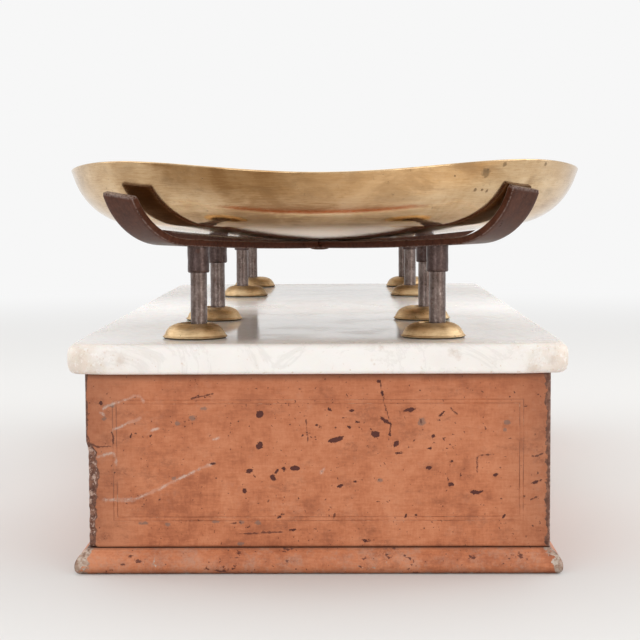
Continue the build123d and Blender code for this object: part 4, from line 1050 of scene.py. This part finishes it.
def bar_stations():
    """Half of a bar's path: reach, height and slope of its upper face, and whether it is halved there."""
    start = atan2(BAR_ARM_START, BAR_BOW_RADIUS)
    lap_step = 0.01 * MM
    stations = [(reach, bar_height(reach), 0.0, reach < LAP_HALF)
                for reach in (0.0, LAP_HALF - lap_step, LAP_HALF + lap_step)]
    bow_steps = 16
    for i in range(1, bow_steps + 1):
        slope = atan2(LAP_HALF + (BAR_ARM_START - LAP_HALF) * i / bow_steps, BAR_BOW_RADIUS)
        height = BAR_TOP + BAR_BOW_RADIUS * (1 - cos(slope))
        stations.append((BAR_BOW_RADIUS * sin(slope), height, slope, False))
    bend = BAR_ARM_RADIUS - BAR_THICKNESS
    axis_reach = (BAR_BOW_RADIUS - bend) * sin(start)
    axis_height = BAR_TOP + BAR_BOW_RADIUS - (BAR_BOW_RADIUS - bend) * cos(start)
    arm_steps = 28
    for i in range(1, arm_steps + 1):
        slope = start + (BAR_TIP_SLOPE - start) * i / arm_steps
        stations.append((axis_reach + bend * sin(slope), axis_height - bend * cos(slope), slope, False))
    return stations


def bar_section(top, bottom, inset):
    """Points round a bar's section from its upper corner, as (across, up from its upper face)."""
    half_thick = (bottom - top) / 2 - inset
    corner = min(0.8 * MM, half_thick / 1.1)
    corner_steps = 3
    edge_steps = 2
    outline = rounded_loop(BAR_WIDTH / 2 - inset, half_thick, corner, 9, edge_steps, corner_steps)
    upper = corner_steps + edge_steps
    return [(a, n - (top + bottom) / 2) for a, n in outline[upper:] + outline[:upper]]


def make_bar(centre, turn, upper, tip_rise, tip_skew):
    """A flat iron bar bowed to the pan, with upturned ends, halved where it crosses its partner.
    tip_rise and tip_skew lengthen and slant the cut end on the camera's side."""
    along = Vector((cos(radians(turn)), sin(radians(turn)), 0.0))
    across = Vector((-along.y, along.x, 0.0))
    half = bar_stations()
    whole = [(-reach, z, -slope, lap) for reach, z, slope, lap in reversed(half[1:])] + half
    vertices = []
    wear = []
    for i, (reach, z, slope, lap) in enumerate(whole):
        tip = i in (0, len(whole) - 1)
        top = BAR_THICKNESS / 2 if lap and not upper else 0.0
        bottom = BAR_THICKNESS / 2 if lap and upper else BAR_THICKNESS
        for a, n in bar_section(top, bottom, 0.5 * MM if tip else 0.0):
            stretch = 0.0
            if reach < -BAR_ARM_START:
                stretch = (tip_rise + tip_skew * a / BAR_WIDTH) * (-slope / BAR_TIP_SLOPE) ** 3
            at = along * (reach - n * sin(slope) - stretch * cos(slope)) + across * a
            place = Vector((centre[0] + at.x, centre[1] + at.y, z + n * cos(slope) - stretch * sin(slope)))
            inward = 0.12 * MM * (1 + wobble(place.x, place.y, place.z, 9 * MM, turn / 10))
            inward *= fall(BAR_WIDTH / 2 - abs(a), 2 * MM)
            vertices.append(tuple(place - across * copysign(inward, a)))
            # Pale rubbed edges and tips, partly a painted highlight; the upper face marked as a bearing.
            edge = max(BAR_WIDTH / 2 - abs(a), min(-n, BAR_THICKNESS + n))
            wear.append((0.7 if tip else 0.8 * fall(edge, 0.8 * MM), 1.0 if n > -0.3 * MM else 0.0, 0.0))
    count = len(vertices) // len(whole)
    faces = [face[::-1] for face in grid_faces(len(whole), count, wrap=True)]
    faces.append(tuple(range(count)))
    faces.append(tuple(range(len(vertices) - 1, len(vertices) - count - 1, -1)))
    return new_mesh(vertices, faces, wear)


def make_rivet(centre):
    """A rivet through the crossing, hammered to a low dome below and flush above."""
    head = ((0.0, -1.6), (3.2, -1.5), (5.2, -1.15), (6.5, -0.55), (7.0, 0.0), (4.5, 0.0), (4.5, 4.2),
            (0.0, 4.2))
    profile = [(r * MM, BAR_TOP - BAR_THICKNESS + z * MM) for r, z in head]
    return new_mesh(*lathe(profile, centre, 40))


# Each bar's turn in degrees, and how its near tip is lengthened and slanted: lower bar, then upper
BARS = {"near": ((45, -2.6 * MM, 3.4 * MM), (138, 0.6 * MM, 2.8 * MM)),
        "far": ((45, 0.0, 0.0), (135, 0.0, 0.0))}

for end in ENDS:
    places = rod_places(end)
    middle = ((places[0][0] + places[-1][0]) / 2, (places[0][1] + places[-1][1]) / 2)
    lower, upper = (make_bar(middle, turn, k == 1, *tip) for k, (turn, *tip) in enumerate(BARS[end]))
    for name, mesh, finish, body, node in (
            ("iron_rods", make_rods(end), ROD_IRON, "carrier", "rods"),
            ("forged_sockets", make_sockets(end), SOCKET_IRON, "cradle", "cradle_sockets"),
            ("lower_bar", lower, BAR_IRON, "cradle", "cradle_lower_bar"),
            ("upper_bar", upper, BAR_IRON, "cradle", "cradle_upper_bar"),
            ("hammered_rivet", make_rivet(middle), BAR_IRON, "cradle", "cradle_rivet")):
        piece(f"{name}_{end}", mesh, finish, f"{body}_{end}", f"{node}_{end}", 50.0)


# ---- Pans ----

def pan_skin(part, depth):
    """A point of a pan's meridian and its outward normal; part runs 0-1 over the dish, 1-2 the wall."""
    reach = PAN_DISH_RADIUS - PAN_WALL_RADIUS
    wall_turn = asin(PAN_WALL_REACH / reach)
    dish_axis = PAN_BOTTOM + PAN_DISH_RADIUS
    if part <= 1.0:
        angle = part * wall_turn
        axis = (0.0, dish_axis)
        radius = PAN_DISH_RADIUS
    else:
        angle = wall_turn + (part - 1.0) * (PAN_WALL_SLOPE - wall_turn)
        axis = (PAN_WALL_REACH, dish_axis - reach * cos(wall_turn))
        radius = PAN_WALL_RADIUS
    normal = (sin(angle), -cos(angle))
    return (axis[0] + (radius - depth) * normal[0], axis[1] + (radius - depth) * normal[1]), normal


def pan_outline(rim):
    """A pan's section from its outer bottom over the lip to its inner bottom, for a rim at this height
    above the slab: points with their outward normals."""
    dish_steps = 22
    wall_steps = 26
    flare_steps = 3
    lip_steps = 6
    parts = [i / dish_steps for i in range(1, dish_steps + 1)]
    parts += [1 + i / wall_steps for i in range(1, wall_steps + 1)]
    tangent = (cos(PAN_WALL_SLOPE), sin(PAN_WALL_SLOPE))
    (_, edge_z), normal = pan_skin(2.0, 0.0)
    length = (SLAB_TOP + rim - edge_z) / sin(PAN_WALL_SLOPE) - PAN_SHEET / 2 - 0.3 * MM
    skins = []
    for depth in (0.0, PAN_SHEET):
        (r, z), _ = pan_skin(2.0, depth)
        skins.append([pan_skin(part, depth) for part in parts])
        for i in range(1, flare_steps + 1):
            up = length * i / flare_steps
            skins[-1].append(((r + tangent[0] * up, z + tangent[1] * up), normal))
    (r, z), _ = skins[0][-1]
    lip = []
    for k in range(1, lip_steps):
        bend = pi * k / lip_steps
        lean = [(n * (cos(bend) - 1) + t * sin(bend)) * PAN_SHEET / 2 for n, t in zip(normal, tangent)]
        lip.append(((r + lean[0], z + lean[1]), normal))
    return skins[0] + lip + skins[1][::-1]


def make_pan(end, centre):
    """A dished pan with a wavy rim and a rounded lip, a little out of true all over."""
    seed = {"near": 11.0, "far": 17.0}[end]
    turns = 300
    columns = []
    for j in range(turns):
        c = cos(2 * pi * j / turns)
        s = sin(2 * pi * j / turns)
        rim = PAN_END_HEIGHT + (PAN_SIDE_HEIGHT - PAN_END_HEIGHT) * c * c
        rim += PAN_CORNER_RISE * 4 * (c * s) ** 2
        column = []
        for (r, z), normal in pan_outline(rim):
            dent = 0.26 * MM * (wobble(r * c, r * s, z, 62 * MM, seed) - 1.0)
            dent += 0.05 * MM * wobble(r * c, r * s, z, 15 * MM, seed + 3)
            dent *= min(1.0, r / (30 * MM))
            out = r + normal[0] * dent
            column.append((centre[0] + out * c, centre[1] + out * s, z + normal[1] * dent))
        columns.append(column)
    rings = [point for ring in zip(*columns) for point in ring]
    return new_mesh(*capped((*centre, PAN_BOTTOM), rings, (*centre, PAN_BOTTOM + PAN_SHEET), turns))


for end in ENDS:
    low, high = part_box(f"pan_{end}")
    centre = ((low.x + high.x) / 2, (low.y + high.y) / 2)
    spots = NEAR_PAN_SPOTS if end == "near" else ()
    finish = material(f"pan_brass_{end}", pan_brass(centre, spots), Metallic=1.0)
    piece(f"brass_pan_{end}", make_pan(end, centre), finish, f"pan_{end}", f"pan_{end}", 80.0)


# ---- Window bezel and its screws ----

def make_bezel():
    """A moulded brass frame round the window."""
    half_y = (WINDOW_HIGH.y - WINDOW_LOW.y) / 2
    half_z = (WINDOW_HIGH.z - WINDOW_LOW.z) / 2
    corner = 19.0 * MM
    steps = (8, 20, 12)
    section = ((0.0, 0.0), (0.0, 1.7), (0.4, 2.5), (1.2, 3.0), (2.6, 3.0), (3.4, 2.5), (4.0, 2.2),
               (7.4, 2.2), (8.2, 2.6), (8.8, 2.2), (9.0, 1.4), (9.0, 0.0))
    vertices = []
    for inset, rise in section:
        loop = rounded_loop(half_y - inset * MM, half_z - inset * MM, corner - inset * MM, *steps)
        vertices += [(WINDOW_LOW.x + rise * MM, y, WINDOW_Z + z) for y, z in loop]
    return new_mesh(*tube(vertices, len(loop)))


def make_bezel_screws():
    """Round-headed wood screws with a slot, each turned its own way."""
    low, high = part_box("bezel_screws")
    head = SCREW_HEAD_RADIUS
    shank = 1.5 * MM
    seat = WINDOW_HIGH.x - 0.8 * MM
    outline = [(0.0, low.x), (shank, low.x), (shank, seat), (head, seat)]
    outline += [(head * cos(radians(a)), seat + 1.9 * MM * sin(radians(a))) for a in (20, 40, 60, 78)]
    outline.append((0.0, seat + 1.9 * MM))
    vertices, faces = lathe(outline, (0.0, 0.0), 32)
    screws = []
    for k, (y, z) in enumerate(((low.y + head, WINDOW_Z), (high.y - head, WINDOW_Z),
                                (0.0, low.z + head), (0.0, high.z - head))):
        turn = radians(25 + 47 * k)
        run = Vector((0.0, cos(turn), sin(turn))) * 2 * head
        aside = Vector((0.0, -sin(turn), cos(turn))) * 0.35 * MM
        deep = Vector((WINDOW_HIGH.x + 0.3 * MM, y, z))
        slot = [tuple(deep + run * i + aside * j + Vector((up, 0.0, 0.0))) for up in (0.0, 2 * MM)
                for i, j in ((-1, -1), (1, -1), (1, 1), (-1, 1))]
        cut = cut_by(new_mesh([(h, a + y, b + z) for a, b, h in vertices], faces), slot,
                     [(3, 2, 1, 0), (4, 5, 6, 7), (0, 1, 5, 4), (1, 2, 6, 5), (2, 3, 7, 6), (3, 0, 4, 7)])
        screws.append(([tuple(v.co) for v in cut.vertices], [tuple(p.vertices) for p in cut.polygons]))
    return new_mesh(*joined(screws))


piece("moulded_bezel", make_bezel(), FITTING_BRASS, "root", "window_bezel", 40.0)
piece("slotted_screws", make_bezel_screws(), FITTING_BRASS, "root", "bezel_screws", 40.0)

for node in frame["nodes"].values():
    if not node.hide_render:
        node.data.shade_smooth()
        node.data.set_sharp_from_angle(angle=radians(30.0))


# ---- Floor, light and camera ----

BACKDROP = (0.93, 0.93, 0.93)
FRONT_ROOM_LEFT = (0.54, 0.51, 0.475)
FRONT_ROOM_RIGHT = (0.90, 0.86, 0.81)
FLOOR = (0.70, 0.695, 0.685)
# The brass and the marble mirror a warmer floor in front of the part
FLOOR_IN_METAL_LEFT = (0.36, 0.285, 0.21)
FLOOR_IN_METAL_RIGHT = (0.80, 0.70, 0.58)


def make_floor():
    """A pale floor that fades into the backdrop's white away from the part."""
    steps = 48
    middle = (0.0, 0.0)
    rings = [point for radius in (0.6, 1.2, 2.5, 6.0, 14.0) for point in circle(middle, radius, 0.0, steps)]
    faces = [(0, 1 + j, 1 + (j + 1) % steps) for j in range(steps)]
    faces += [face[::-1] for face in grid_faces(len(rings) // steps, steps, wrap=True, first=1)]
    floor = bpy.data.objects.new("floor", new_mesh([(0.0, 0.0, 0.0), *rings], faces))
    scene.collection.objects.link(floor)
    made = bpy.data.materials.new("floor")
    t = Tree(made)
    place = t.place()
    x, y, _ = t.split(place)
    in_metal = t.mix(t.step(x, -0.30, 0.30), FLOOR_IN_METAL_LEFT, FLOOR_IN_METAL_RIGHT)
    mirrored = t.times(t.node("LightPath", {})["Is Glossy Ray"], t.step(y, -0.30, -0.50))
    diffuse = t.node("BsdfDiffuse", {"Color": t.mix(mirrored, FLOOR, in_metal)})[0]
    glow = t.node("Emission", {"Color": BACKDROP})[0]
    far = t.step(t.vector("LENGTH", place)["Value"], 0.9, 2.6)
    t.node("OutputMaterial", {0: t.node("MixShader", {0: far, 1: diffuse, 2: glow})[0]})
    floor.data.materials.append(made)


def make_world():
    """A pale studio: white behind the part and overhead, a little darker and warmer in front of it."""
    world = bpy.data.worlds.new("studio")
    scene.world = world
    t = Tree(world)
    x, y, z = t.split(t.node("TexCoord", {})["Generated"])
    bright = t.math("MAXIMUM", t.step(y, -0.1, 0.5), t.step(z, 0.12, 0.55))
    seen = t.node("LightPath", {})["Is Camera Ray"]
    front = t.mix(t.step(x, -0.55, 0.65), FRONT_ROOM_LEFT, FRONT_ROOM_RIGHT)
    shade = t.mix(t.math("MAXIMUM", bright, seen), front, BACKDROP)
    t.node("OutputWorld", {0: t.node("Background", {"Color": shade})[0]})


def make_lamp(name, place, target, size, power, colour=(1.0, 1.0, 1.0)):
    """A soft square lamp aimed at a point."""
    lamp = bpy.data.lights.new(name, "AREA")
    lamp.shape = "SQUARE"
    lamp.size = size
    lamp.energy = power
    lamp.color = colour
    obj = bpy.data.objects.new(name, lamp)
    scene.collection.objects.link(obj)
    obj.location = place
    obj.rotation_euler = (Vector(target) - Vector(place)).to_track_quat("-Z", "Y").to_euler()


make_floor()
make_world()
make_lamp("window_light", (-0.9, -2.1, 0.62), (0.0, -0.2, 0.12), 1.1, 6.6)
make_lamp("room_light", (1.3, -1.9, 0.55), (0.0, -0.1, 0.12), 0.9, 6.0, (1.0, 0.97, 0.93))
make_lamp("ceiling_light", (0.0, 0.4, 1.9), (0.0, 0.0, 0.1), 1.8, 9.0)
make_lamp("left_light", (-1.7, 0.1, 1.1), (0.0, -0.1, 0.14), 1.2, 7.5)
make_lamp("right_light", (1.7, 0.1, 1.1), (0.0, -0.1, 0.14), 1.2, 8.5)

CAMERA_PLACE = Vector((0.0170, -1.2831, 0.2269))
CAMERA_YAW = radians(-0.91)
CAMERA_PITCH = radians(4.38)
CAMERA_ROLL = radians(-0.29)
CAMERA_LENS = 90.56
level = Vector((cos(CAMERA_YAW), -sin(CAMERA_YAW), 0.0))
ahead = Vector((sin(CAMERA_YAW), cos(CAMERA_YAW), 0.0))
forward = ahead * cos(CAMERA_PITCH) - Vector((0.0, 0.0, sin(CAMERA_PITCH)))
upright = level.cross(forward)
right = level * cos(CAMERA_ROLL) + upright * sin(CAMERA_ROLL)
up = upright * cos(CAMERA_ROLL) - level * sin(CAMERA_ROLL)
camera = bpy.data.objects.new("camera", bpy.data.cameras.new("camera"))
camera.data.sensor_width = 36.0
camera.data.lens = CAMERA_LENS
camera.matrix_world = Matrix((right, up, -forward)).transposed().to_4x4()
camera.location = CAMERA_PLACE
scene.collection.objects.link(camera)
scene.camera = camera
scene.view_settings.view_transform = "Standard"
